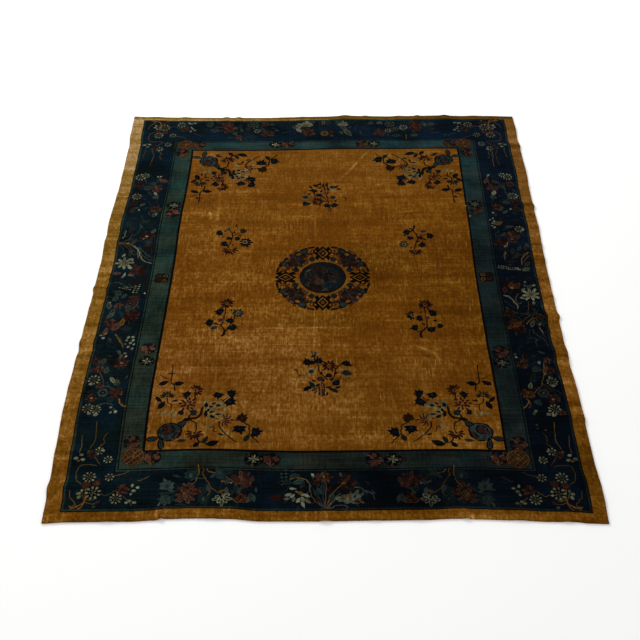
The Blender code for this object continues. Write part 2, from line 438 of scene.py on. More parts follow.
def drawFlutter(x, y, size, turn, yarn):  # a winged shape with ringed spots
    knot("ink", roundel(x, y, size * 1.1, 4, 0.30, turn + 45, count=24))
    for way, reach, ringYarn in ((40, 0.60, "brass"), (-50, 0.64, "gilt"), (140, 0.5, "rose"),
                                 (225, 0.55, "deepWine")):
        spot = laid([(size * reach, 0)], x, y, turn + way)[0]
        knot(ringYarn, roundel(spot[0], spot[1], size * 0.33, count=12))
        knot("umber", roundel(spot[0], spot[1], size * 0.22, count=8))
        knot(ringYarn, roundel(spot[0], spot[1], size * 0.10, count=6))
    knot("umber", leafShape(x, y, size * 1.5, turn, 0.24))


drawers = {"blossom": drawBlossom, "peony": drawPeony, "daisy": drawDaisy, "half": drawHalfDaisy,
           "leaf": drawLeaf, "maple": drawMaple, "fan": drawFan, "lily": drawLily,
           "broad": drawBroadLeaf, "pale": drawPaleLeaf, "round": drawRound, "dot": drawDot,
           "spray": drawSpray, "flutter": drawFlutter, "opened": drawOpened}


# A group has the place that it is counted from, and its items. An item is x, y, size and turn of a
# motif, the turn left out where it is 0, or the width and the points of a stem. Words before it
# name the motif and the yarn where they change.
def drawAll(group, thicker=1.0, larger=1.0):
    fromX, fromY, items = group
    for item in items.split(","):
        numbers = []
        for word in item.split():
            if word in drawers:
                draw = drawers[word]
            elif word in yarns:
                yarn = word
            else:
                numbers.append(float(word))
        if len(numbers) > 4:
            width, *places = numbers
            points = [(fromX + x, fromY + y) for x, y in zip(places[::2], places[1::2])]
            stem(yarn, width * thicker, points)
        else:
            x, y, size, turn = (numbers + [0.0])[:4]
            draw(fromX + x, fromY + y, size * larger, turn, yarn)


def alongSides(corners, pitch):  # points around a rectangle
    points = []
    for start, end in zip(corners, corners[1:] + corners[:1]):
        steps = round(math.dist(start, end) / pitch)
        for step in range(steps):
            points.append(tuple(start[k] + (end[k] - start[k]) * step / steps for k in (0, 1)))
    return points


# Bands, on the straight rug: millimetres from the middle to each side

Band = namedtuple("Band", "yarn left right near far")
bands = [Band(*row) for row in (
    ("ink", 1306, 1317, 1690, 1701),
    ("guard", 1301, 1312, 1685, 1696),
    ("navy", 1291, 1302, 1675, 1686),
    ("ink", 1066, 1081, 1456, 1450),
    ("guard", 1061, 1076, 1451, 1445),
    ("ink", 1053, 1067, 1443, 1437),
    ("slate", 1047, 1062, 1437, 1431),
    ("ink", 938, 952, 1335, 1346),
    ("gold", 924, 940, 1322, 1333),
)]


bandSizes = {
    "pitch": 22,             # millimetres between the points of a line
    "innerReach": 1200,      # lines inside this take up less of the edge's waves
    "innerSoftness": 0.16,
}


def knotBands():
    midX, midY = rugSizes["patternMiddle"]
    for band in bands:
        soft = bandSizes["innerSoftness"] if band.left < bandSizes["innerReach"] else 0.0
        corners = [(-band.left, -band.near), (band.right, -band.near),
                   (band.right, band.far), (-band.left, band.far)]
        outline = []
        for u, v in alongSides(corners, bandSizes["pitch"]):
            shifts = [edgeShift(u / 1000 + k * soft, v / 1000 + k * soft) for k in (-1, -0.5, 0, 0.5, 1)]
            # The mean of the five, in millimetres
            outline.append((u + 200 * sum(move[0] for move in shifts) - midX,
                            v + 200 * sum(move[1] for move in shifts) - midY))
        knot(band.yarn, outline)


# The field's corner sprays: drawn at the near left, laid at all four corners
sprayGroup = (-900, -1200, (
    "bark 13 152 74 178 94 198 98 227 108 241 126 245 159 256 192, 7 178 92 185 115 194 134, "
    "6 180 93 216 73 227 44 227 8, 6 232 -28 251 -54 278 -65 310 -67, 6 196 279 202 248 210 215, "
    "5 50 239 56 212 78 190 80 150, 4 78 192 96 190 110 198, 6 87 292 83 330 64 350 61 400 56 480, "
    "4 50 374 22 388 -2 404, 4 38 420 58 416 78 420, 5 295 110 320 102 344 93 371 88, "
    "6 346 234 351 217 362 228 378 248, 5 411 86 435 84 455 88, "
    "6 459 75 488 64 504 44 506 8 520 -20 561 -67, 6 344 78 349 40 371 13 406 -27 445 -57, "
    "wine 5 291 42 317 41 320 14 330 9, leaf leafBlue 172 92 38 25, half wine 220 2 45 -88, "
    "leaf leafGreen 281 -42 46 60, leafBlue 238 -74 38 45, 322 -65 62 18, husk 158 -48 44 4, "
    "maple leafBlue 158 263 21 150, 140 141 16 200, leafGreen 200 137 20 30, half wine 201 294 42 35, "
    "leafGreen 52 250 40 96, leaf umber 98 221 32 10, leafBlue 8 228 48 -50, 29 190 52 62, 24 347 50 24, "
    "107 343 48 6, sage 45 136 32 60, 74 130 30 100, 105 127 36 70, 266 215 36 70, 352 182 34 -40, "
    "366 160 30 -70, 360 112 34 -15, 376 190 24 20, 382 122 24 30, dot brass 338 160 11 20, sage 348 92 9, "
    "leaf 340 212 26 30, 312 166 22 100, pale leafBlue 267 192 32 80, leafGreen 307 202 26 28, "
    "leaf leafBlue 293 179 22 30, pale leafGreen 333 188 26 5, leafBlue 280 156 26 60, "
    "leafGreen 302 144 26 15, 335 127 27, leaf leafBlue 269 132 40 92, pale 304 110 30 -35, "
    "maple 326 263 24 255, 393 270 25 30, 390 216 28 315, seam 462 98 28 75, leafBlue 453 32 29 275, "
    "536 6 28, leaf leafGreen 495 -30 44 62, sage 288 48 32 80, 395 5 26 70, leafGreen 360 -8 28 -20"
))


def knotFruit():  # a split fruit with its seeds showing, a neck and a crown at the bottom
    for x, y, length, turn in ((-754, -1143, 84, 47), (-892, -1238, 74, 10), (-846, -1272, 78, 98)):
        knot("ink", leafShape(x, y, length * 1.08, turn, 0.46))
        knot("skin", leafShape(x, y, length * 0.86, turn, 0.32))
        knot("ink", leafShape(x, y, length * 0.5, turn, 0.14))
    knot("ink", roundel(-809, -1192, 68, 7, 0.06, 20, 0.92))
    knot("skin", roundel(-809, -1192, 61, 7, 0.08, 20, 0.92))
    for reach, count, first in ((55, 19, 90), (43, 15, 80), (31, 10, 60)):
        for step in range(count):
            way = first + step * 300 / count
            rib = laid([(reach, 0)], -809, -1192, way)[0]
            knot(("ink", "mist", "seam")[step % 3], leafShape(rib[0], rib[1], 20, way + 75, 0.34))
    knot("ink", roundel(-815, -1178, 34, squash=0.85, turn=15, count=14))
    for step in range(13):
        seed = laid([(24 * math.sqrt(step / 12), 0)], -815, -1179, step * 137.5)[0]
        knot(("rose", "deepWine", "plum")[step % 3], roundel(seed[0], seed[1], 8, count=7))
    knot("ink", leafShape(-768, -1212, 62, 70, 0.6))
    for step in range(5):
        knot(("rose", "plum")[step % 2], roundel(-778 + 4 * step, -1236 + 12 * step, 8, count=7))


def knotOpenBloom(x, y):  # a bloom drawn in thin dark red lines
    for way in (-96, -60, -26, 8, 42, 76, 110):
        knot("wine", laid([(8, -4), (26, -10), (45, -5), (46, 1), (27, -2), (8, 2)], x, y, way))
        knot("blush", laid([(14, 4), (26, 2), (37, 5), (26, 7)], x, y, way))
    knot("blush", roundel(x + 5, y, 8, count=7))


# Dark leaves of the two sprays at the far end, laid as in the near left one
farSprayGroup = (-750, -1200, (
    "leaf leafBlue 48 114 32 70, seam -2 134 26 20, umber 60 148 24 100, seam 95 -12 30 60, "
    "umber 50 10 28 80, -6 -66 34 10, leafBlue 150 40 26, seam 178 18 24 90, 205 80 30 75, 238 92 26 30, "
    "leafBlue 110 165 34 80, seam 22 200 30 60, umber 44 228 26 110, leafGreen -88 252 30 130, "
    "umber -96 160 26 60, dot seam -105 410 9, leaf 62 275 30 20, 72 300 24 90"
))


def knotSpray(far):
    drawAll(sprayGroup, 1.8 if far else 1.3, 1.14 if far else 1.05)
    if far:
        drawAll(farSprayGroup)
    knotFruit()
    for count, reach, turn in ((11, 38, 12), (6, 18, 40)):   # a bloom of loose petals
        for step in range(count):
            way = turn + 360 * step / count
            at = laid([(reach * (1.1 if step % 2 else 0.92), 0)], -733, -1000, way)[0]
            knot("blush", leafShape(at[0] + 4, at[1] - 6, 22, way + 20, 0.34))
            knot("wine", leafShape(at[0], at[1], 24, way + 10, 0.56))
    knotOpenBloom(-530, -1112)


# The field's four sprigs, each drawn afresh
sprigGroup = (-650, -450, (
    "bark 4 90 948 83 928 99 914 90 895, 6 38 890 58 875 67 840 62 780 48 715, 4 110 870 85 850 66 835, "
    "9 1226 936 1212 897 1185 865, 6 1210 890 1228 852 1237 800 1218 745 1210 705, "
    "4 1300 850 1268 838 1238 815, 10 62 -47 79 -8 84 2, 6 80 -5 56 38 68 115 72 195, "
    "6 80 -8 102 40 130 110, 5 60 35 28 48 0 58, 10 1202 -57 1200 -20 1210 -2, "
    "6 1205 -8 1235 20 1242 65 1238 120 1235 170, 4 1235 20 1275 22 1305 32, "
    "maple leafBlue -12 864 24 200, round sage 40 900 17, maple leafGreen 130 882 22 20, "
    "leafBlue 47 807 17 90, 98 807 19 10, 25 758 24 205, daisy 155 770 44, round sage 150 774 18, "
    "half wine 62 702 50 -92, leaf leafBlue 20 882 22 60, umber 78 870 22 100, 10 822 24 20, "
    "leafBlue 114 838 22 -30, bark 90 932 18 30, umber 75 750 20 60, maple leafBlue 1175 870 24 170, "
    "leaf husk 1278 880 38 10, maple leafBlue 1312 835 26, 1193 817 20 250, seam 1253 815 18 60, "
    "leafBlue 1258 750 24 330, daisy husk 1147 753 34, round sage 1147 753 14, half wine 1215 692 44 -80, "
    "leaf leafBlue 1198 905 22 150, umber 1240 780 20 20, leafBlue 1282 802 24 -40, umber 1158 840 22 60, "
    "1190 722 20 60, daisy wine 76 220 42 90, maple leafBlue 40 150 26 160, daisy moss 145 140 38, "
    "round sage 145 140 14, blush 47 82 19, maple leafBlue 102 74 23 60, -12 60 26 170, "
    "leaf teal 15 20 42 20, maple leafBlue 118 25 25 330, leaf umber 50 180 20 40, leafBlue 24 52 22 -30, "
    "umber 104 162 20 80, daisy wine 1240 210 44, half leafBlue 1158 122 38 184, round sage 1162 122 13, "
    "maple leafBlue 1275 140 26 15, 1204 98 22 200, round rose 1248 102 13, maple leafBlue 1172 20 22 180, "
    "1262 10 24 290, 1312 35 19 10, leaf umber 1210 150 20 60, leafBlue 1290 78 24 10, 1220 50 22 150, "
    "umber 1190 -10 20 20"
))

# The two sprays on the long middle line
nearMiddleGroup = (-80, -900, (
    "umber 7 51 -43 52 -5 49 22, blush 9 64 -48 64 5 61 55, umber 7 77 -43 77 0 75 35 62 55, "
    "4 70 -46 71 -10 68 20, bark 6 96 68 68 105 47 140 42 185 22 232 6 288, "
    "6 178 188 150 168 139 145 132 94 108 74, 5 104 74 140 78 162 83 173 97, "
    "rust 4 -80 137 -68 118 -58 103 -20 108, 4 200 78 194 64 204 48 212 62, bark 4 20 228 32 210 44 200, "
    "4 49 22 28 28 10 38, 4 77 16 104 22 134 -5, blossom cream 26 270 13, leaf wine 18 248 30 40, "
    "dot sage 12 232 7, leaf umber 40 236 22 100, maple leafBlue -16 202 22 185, leaf 10 198 44, "
    "maple 47 208 20 60, daisy wine 104 174 40, maple leafBlue 196 190 21 60, leaf umber 220 178 24, "
    "round sage 199 116 24, half leafGreen 199 116 30 86, round sage 5 131 23, gold 5 131 15, "
    "daisy leafGreen 5 131 16, dot plum 5 131 7 90, rust -80 144 7, wine -70 134 6, umber -62 98 6, "
    "round plum 54 78 17, dot wine 72 66 11 80, maple leafBlue 102 100 16 90, 140 52 21 300, "
    "dot blush 212 82 8, leaf bark 120 74 22 60, leafGreen 10 38 46 120, husk 26 4 34 40, "
    "leafBlue -17 8 38 48, bark 42 32 26 30, umber 102 18 32 5, leafGreen 134 -7 38 -48, "
    "bark 94 -28 26 70, plum 32 -18 22 60, bark 116 2 26 -20, leafBlue 2 16 24 80, 154 16 30 20, "
    "umber 20 64 22 -40, 140 120 22 60, sage -30 100 22 60, 172 148 20, bark 60 120 20 80"
))
farMiddleGroup = (-50, 700, (
    "umber 5 22 234 22 200, 5 45 232 45 190, 5 69 236 68 186 62 150, "
    "5 48 192 52 150 60 112 71 70 75 22 70 -5, blush 6 63 180 56 140 36 100 60 62 68 25, "
    "bark 4 -20 140 -12 100 -6 50, 4 20 100 38 80 54 62, 4 78 -28 92 -42 88 -78, "
    "moss 4 78 -24 72 -50 84 -70, rust 4 174 80 188 68 186 45 196 56, umber 4 90 -10 80 0 70 0, "
    "4 70 112 74 140 70 170, leaf -8 202 30 -35, 6 214 22 40, wine 21 180 28 35, bark 20 218 20 90, "
    "maple leafBlue -19 150 17 250, leaf bark -42 148 26, umber 77 166 24 100, round sage 102 186 20, "
    "leaf leafGreen 102 186 26 10, leafBlue 146 166 26 -30, -42 184 28 -50, bark 42 206 26 80, "
    "umber 62 212 22 100, -50 112 22 40, 124 42 24 60, leafBlue 30 142 22 60, wine 125 188 32 40, "
    "sage 116 158 24 75, wine 71 122 20 90, maple leafBlue 12 104 16 290, leaf rust -74 136 16, "
    "round sage -75 78 21, leaf leafGreen -75 78 36, maple leafBlue -79 10 18, leaf leafGreen -58 8 34 10, "
    "daisy wine 6 31 36, round plum 106 76 16, dot ink 108 74 6, gilt 96 34 9, "
    "maple leafBlue 66 -8 17 230, 110 -6 18 330, leaf wine 132 -4 24, dot rust 198 70 5"
))

# The main border: blossom branches in the corners

cornerGroup = (-1250, -1650, (
    "umber 17 6 -20 34 -10 64 20 70 52 64 90, amber 11 6 -22 35 -6 60 10 70 34 66 80 60 128, "
    "8 -2 -4 22 -10 45 -2 70 18, 7 45 -26 58 -6 70 20, gilt 6 18 -4 24 10 8 32 -8 52 -12 90, "
    "5 70 32 58 50 48 78, umber 3 36 0 60 18 66 44, gilt 5 74 38 100 32 122 48 130 58, "
    "3.75 75 18 110 8 132 18, 4.5 35 130 10 145 0 190 10 235 45 248 100 240, "
    "3.75 132 70 165 58 190 72 210 88, 3 150 180 210 182 265 202, 3 315 147 345 158 370 178, "
    "3.75 255 52 282 30 302 0, 3 110 250 85 280 70 305 50 330, 3.75 45 350 60 415 50 530, "
    "3.75 -8 325 -2 360 -12 440, 3.75 85 352 110 390 105 425 122 455, blossom cream 70 170 35, "
    "170 170 25 10, 102 75 42 20, dot 32 72 12, 38 50 12 50, 46 90 9 90, blossom 220 40 33, "
    "dot 292 120 10 90, 320 107 11, 302 88 11, 292 68 9 60, 275 18 10, 313 18 11, 290 28 9, "
    "round rust 60 123 22, 113 132 21, peony rose 245 94 30, dot stone 118 -7 10, leaf plum 134 18 30 40, "
    "dot cream -18 288 13, 7 310 11, 18 280 12, gilt -2 272 9, blossom cream 95 334 26, 147 280 25, "
    "peony plum 60 312 24, dot blush 40 330 9 90, cream 112 338 9"
))
cornerPlaces = ((1, 1, 0, 0), (-1, 1, 5, -3), (1, -1, 5, 4), (-1, -1, 0, 12))

# Dim leaves and shoots that fill the ground between the main border's flowers: x, y from and to, how many
undergrowth = (
    (-1285, -1085, -960, 1010, 150), (1085, 1285, -960, 1010, 150), (-860, 860, 1478, 1662, 110),
    (-830, -340, -1650, -1470, 22), (-220, 240, -1650, -1470, 26), (340, 830, -1650, -1470, 22),
)


def knotUndergrowth():
    for fromX, toX, fromY, toY, count in undergrowth:
        for step in range(count):
            x = fromX + (toX - fromX) * ((step * goldenShare + 0.2) % 1)
            y = fromY + (toY - fromY) * (step + 0.5) / count
            turn = (step * 137.5 + x) % 360
            yarn = ("teal", "moss", "deepPlum", "deepTeal", "umber", "mist", "husk")[step * 3 % 7]
            if step % 2:
                knot(yarn, leafShape(x, y, 30 + 24 * ((step * 0.755) % 1), turn, 0.32))
            else:
                tip = laid([(30, 12), (66, 4)], x, y, turn)
                stem(yarn, 4, ((x, y), tip[0], tip[1]))


# The main border's flower groups at the near end

nearEndGroup = (-650, -1570, (
    "umber 12 12 168 18 120 12 82 2 60 -16 40, brass 6 10 168 16 120 10 82 0 60 -18 40, "
    "umber 12 40 148 40 110 60 75 80 40 105 12, brass 6 38 148 38 110 58 75 78 40 105 10 125 -5, "
    "gilt 5 50 140 75 122 102 120, 4 78 35 82 5 68 -22, stone 3 -85 10 -110 -5 -140 -2, "
    "gilt 4 190 -30 215 -55 255 -62, 4 150 95 180 75 210 70, maple mist -135 35 34 100, -132 -40 34 -110, "
    "leaf teal -102 -36 44 80, stone -162 -70 26 70, teal -150 -10 40 170, mist -115 10 34 150, "
    "peony russet -40 -16 50, -32 25 32 20, rust 18 4 18 10, maple teal -22 102 32 100, leaf 0 130 40 60, "
    "54 14 56 70, mist 72 25 40 100, maple teal 52 -42 28 -80, leaf 38 -20 30 30, maple 120 114 32 10, "
    "leaf 160 124 56, mist 90 100 36 40, teal 130 90 40 160, opened cream 142 -32 50, "
    "leaf stone 160 8 40 80, dot gilt 138 4 14, umber 148 -2 9 40, blossom oat 160 62 15, "
    "dot gilt 138 66 8, cream 182 56 7, leaf teal 210 25 46 110, mist 225 10 40 60, "
    "peony rose 240 75 48 10, leaf rust 194 94 36 20, rose 288 78 36 80, 270 44 36 -30, "
    "peony rust 235 -32 27, leaf mist 282 -30 46 80, 300 -34 40 95, stone 270 -48 34 60"
))
nearCentreGroup = (-50, -1620, (
    "gilt 6 -126 130 -87 137 -45 126 -27 91 -24 53, 4 52 -48 20 -20 -8 14 -20 45, "
    "rose 4 50 -48 28 -20 4 30 -8 70, mist 4 46 -46 24 10 12 60 20 100, 6 50 -46 42 10 44 80 48 120, "
    "blush 4 52 -48 53 20 58 80 54 120, rose 4 54 -48 70 10 80 50, gilt 4 56 -48 74 10 100 60 138 98, "
    "4 58 -48 84 0 112 30 130 40, mist 4 55 -48 80 20 94 40, oat 4 64 -48 80 -20 102 10, "
    "5 80 -48 100 -30 134 -25 162 -38, 6 198 80 226 78 246 58 264 40, stone 5 246 60 282 42 294 8, "
    "spray mist -155 140 46 95, teal -130 142 40 80, leaf -136 108 44 -10, mist -82 112 56 20, "
    "teal -100 148 50 5, -62 94 40 60, cream -108 70 32 -10, -132 34 34 20, oat -138 10 28, "
    "cream -110 28 28 40, oat -104 8 30 80, cream -80 2 28 60, -42 30 38 -30, -60 8 28 -60, "
    "-58 -22 34 -72, oat -34 -4 36 -40, umber -106 -26 26 90, dot brass -74 46 14, cream -62 32 8, "
    "oat -92 54 7, leaf wine -186 17 58 8, dot cream 990 2202 9, 974 2305 8, leaf -12 154 24 120, "
    "mist -8 136 18 40, peony russet 42 140 33, leaf rust 8 144 30 10, 78 140 34 10, dot gilt 44 142 9 80, "
    "peony wine 6 108 18, leaf teal 38 72 50 88, 24 58 40 110, wine 72 68 34 60, teal 6 45 36 120, "
    "90 20 34 60, wine 146 150 34 110, 126 140 30 150, rust 170 142 32 60, wine 182 118 34 -10, "
    "rust 154 120 32 20, wine 124 110 30 10, 162 92 34 -40, rust 196 98 32 30, wine 140 78 30 80, "
    "182 70 30, dot gilt 142 106 10 30, brass 150 100 6 30, leaf oat 116 14 34 20, 134 2 38 8, "
    "stone 142 26 30 40, oat 162 -6 36 -6, cream 162 14 30 30, oat 190 8 36 10, 186 32 32 40, "
    "208 48 34 60, 218 26 34 40, stone 236 40 30 60, oat 216 8 30, stone 190 -12 28 -30, "
    "dot gilt 168 30 15 20, brass 154 22 9 20, leaf blush 232 -8 28 -30, 210 -14 20 -10"
))

# The same at the far end

farEndGroup = (-650, 1500, (
    "gilt 7 15 20 32 -20 50 -50 60 -75, umber 5 65 0 70 -40 90 -60, stone 4 -70 80 -100 90 -140 85, "
    "gilt 5 1230 0 1228 -40 1224 -60, umber 5 1257 0 1254 -30 1240 -50, fan mist -155 115 46 170, "
    "-132 62 44 -90, teal -110 130 34 60, peony blush -42 105 44, rose -40 55 40 20, dot blush 10 75 20, "
    "fan stone 10 20 26 -60, leaf teal -15 -45 50, 50 100 56 80, mist 60 50 40 100, round rose 45 -38 28, "
    "blossom stone 138 112 46, fan mist 140 140 40 90, blossom teal 105 60 30, cream 172 40 26 20, "
    "leaf teal 135 -30 70, peony rose 225 120 26, fan mist 275 112 30 90, peony rose 242 10 42 10, "
    "leaf mist 210 60 44 110, fan cream 525 100 62 90, 485 100 44 160, dot brass 522 115 17, "
    "fan mist 555 140 36 60, leaf stone 438 80 44 -50, cream 468 48 50 -60, peony blush 530 30 46, "
    "rose 542 12 30 20, dot blush 578 5 11, leaf plum 622 140 64 92, stone 644 148 60 88, "
    "teal 678 140 64 110, 695 110 44 60, round gilt 652 10 32, umber 702 30 30, dot stone 702 -18 15 20, "
    "fan cream 780 110 56 90, mist 760 140 40 130, leaf stone 790 75 70 -60, 815 20 90 -62, "
    "mist 770 20 40 -70, umber 850 100 40 90, peony rose 1045 20 40, fan mist 985 125 34 90, "
    "stone 1045 130 34 80, blossom 1120 125 40, mist 1150 70 38 10, cream 1215 85 32, "
    "leaf teal 1210 140 50 20, blossom cream 1105 45 24, leaf teal 1160 -15 60, peony rust 1300 120 46, "
    "1305 75 38 10, fan mist 1400 130 40, leaf stone 1375 120 44 80, fan teal 1402 72 36 -60, "
    "leaf stone 1290 -10 50 10, dot plum 1435 60 10"
))

# The main border's left side

leftGroup = (-1200, -600, (
    "stone 4 -92 918 -55 930 -25 965 -15 1000, mist 4 -90 900 -62 870 -48 832, "
    "stone 4 -70 906 -28 868 -12 822 -16 796, mist 4 -30 908 15 930 50 942 80 932, "
    "4 -5 898 40 862 58 822 70 790, stone 3 50 828 80 790 115 760 142 750, "
    "teal 5 80 900 110 870 128 832 130 800, mist 4 -80 540 -62 558 -35 552 -25 530, "
    "stone 4 -80 1000 -68 1028 -74 1050, umber 5 20 40 50 20 80 0, stone 5 -15 1585 0 1545 12 1525, "
    "blush 7 90 1585 105 1565 135 1565 148 1545, umber 4 -15 1445 5 1410 -5 1370 5 1330 35 1290 70 1240, "
    "cream 6 -76 960 -62 985 -62 1030, mist 5 18 1105 28 1070 18 1020 -10 980, "
    "blush 6 -92 903 -50 900 -15 880 0 840 -3 790, gilt 8 -90 910 -40 912 0 890 32 850 42 805 50 770, "
    "cream 7 10 890 42 840 60 790 90 745 140 724, mist 5 35 875 75 835 95 800 138 778, "
    "teal 5 50 840 88 825 120 795 138 750, stone 6 -62 555 -15 540 20 512 70 508, 5 98 385 92 350 75 325, "
    "gilt 9 2 120 30 75 50 40 65 8, 6 48 -10 52 -40 55 -72, "
    "stone 5 -55 -100 -50 -145 -30 -190 -12 -230 0 -270, 4 -35 -285 20 -280 50 -300 80 -305, "
    "4 -15 -410 30 -395 70 -410, paleGold 7 92 -368 102 -395 115 -415 138 -418, "
    "brass 4 88 -378 108 -385 125 -405, blossom cream -40 1595 38 10, -8 1612 28, dot 75 1600 10 90, "
    "94 1604 9 60, leaf blush 115 1555 60 -30, peony wine -40 1515 30, round mist 20 1478 26, "
    "teal 55 1525 20, peony rose 85 1472 36 10, blossom cream -40 1385 34, fan mist 80 1390 34 -60, "
    "leaf cream 80 1415 34 -60, peony wine -52 1315 26, dot umber -24 1302 14 60, leaf mist 10 1300 40 30, "
    "dot cream -8 1245 9 90, stone -22 1268 8 90, peony rose 97 1255 34, leaf teal 40 1265 40 40, "
    "stone 102 1198 52 60, dot cream 108 1200 9 60, leaf plum -50 1240 50 70, fan teal -45 1110 34 200, "
    "leaf 50 1128 60 10, plum -28 1050 60 80, peony wine 75 985 44, dot cream 76 980 11, 60 956 9 60, "
    "round teal 95 922 26, leaf stone 114 1030 46 60, plum -20 945 44 60, stone 5 930 50 60, "
    "wine 100 868 66 8, dot cream -32 912 9, lily -32 725 62 30, leaf -44 796 30 60, 14 758 30 -70, "
    "10 684 34 -50, -14 620 36 80, dot -25 600 10 60, leaf blush -62 632 46, 28 620 42 10, "
    "peony plum 65 662 48, leaf rust 58 670 40 -50, wine 88 640 60 -60, umber 100 685 60 80, 55 550 60 60, "
    "115 570 60 110, spray cream 75 500 40 80, 15 502 26 -12, dot -28 508 7, 128 458 8 90, "
    "fan mist -45 455 42 20, -50 415 34 -20, leaf 10 432 44 50, round plum 55 370 36, dot wine 32 378 10, "
    "half rust 72 408 36 60, leaf stone -68 355 60 100, dot cream -66 378 7, peony blush -12 350 25, "
    "leaf mist -40 300 60 70, stone -45 270 60 50, fan mist 35 325 36 20, peony wine 70 265 46 10, "
    "92 290 30, blush -40 208 30, leaf 0 180 70 60, gilt 30 215 60 80, blush -55 140 60 80, "
    "fan teal 50 155 40 20, dot cream -78 108 9, -62 88 11 40, -52 122 8, leaf mist -22 75 34 -60, "
    "dot cream 82 92 11 60, 108 95 11 20, 75 70 10 90, 112 70 10 60, 100 48 10 60, 120 38 9 60, "
    "90 18 10 60, 115 5 10 60, stone 70 40 9 60, cream 80 -32 10, 88 -55 10 50, leaf stone 62 -55 34 70, "
    "peony rose -72 -90 26, leaf stone -30 -92 44 60, peony rose 70 -105 38, dot cream 72 -106 8, "
    "leaf umber 20 -105 60 -30, half rose -75 -165 30 90, peony blush -42 -152 24, "
    "leaf mist -5 -158 50 80, blossom cream -62 -230 36, dot -75 -262 12, leaf 42 -235 50 -55, "
    "fan stone 55 -250 30, peony rose -25 -272 20, rust 72 -325 36 10, dot rose 70 -318 22 50, "
    "round mist 0 -322 30, peony rust -58 -358 30, dot cream -56 -360 9, fan teal 35 -375 32 30, "
    "blossom cream -62 -432 34, -18 -440 30, dot -15 -475 14 20, -50 -468 12, wine -92 -462 12 40, "
    "cream 58 -425 9, 88 -455 11 60, 62 -460 9 30, stone 78 -440 8 30"
))

# The main border's right side

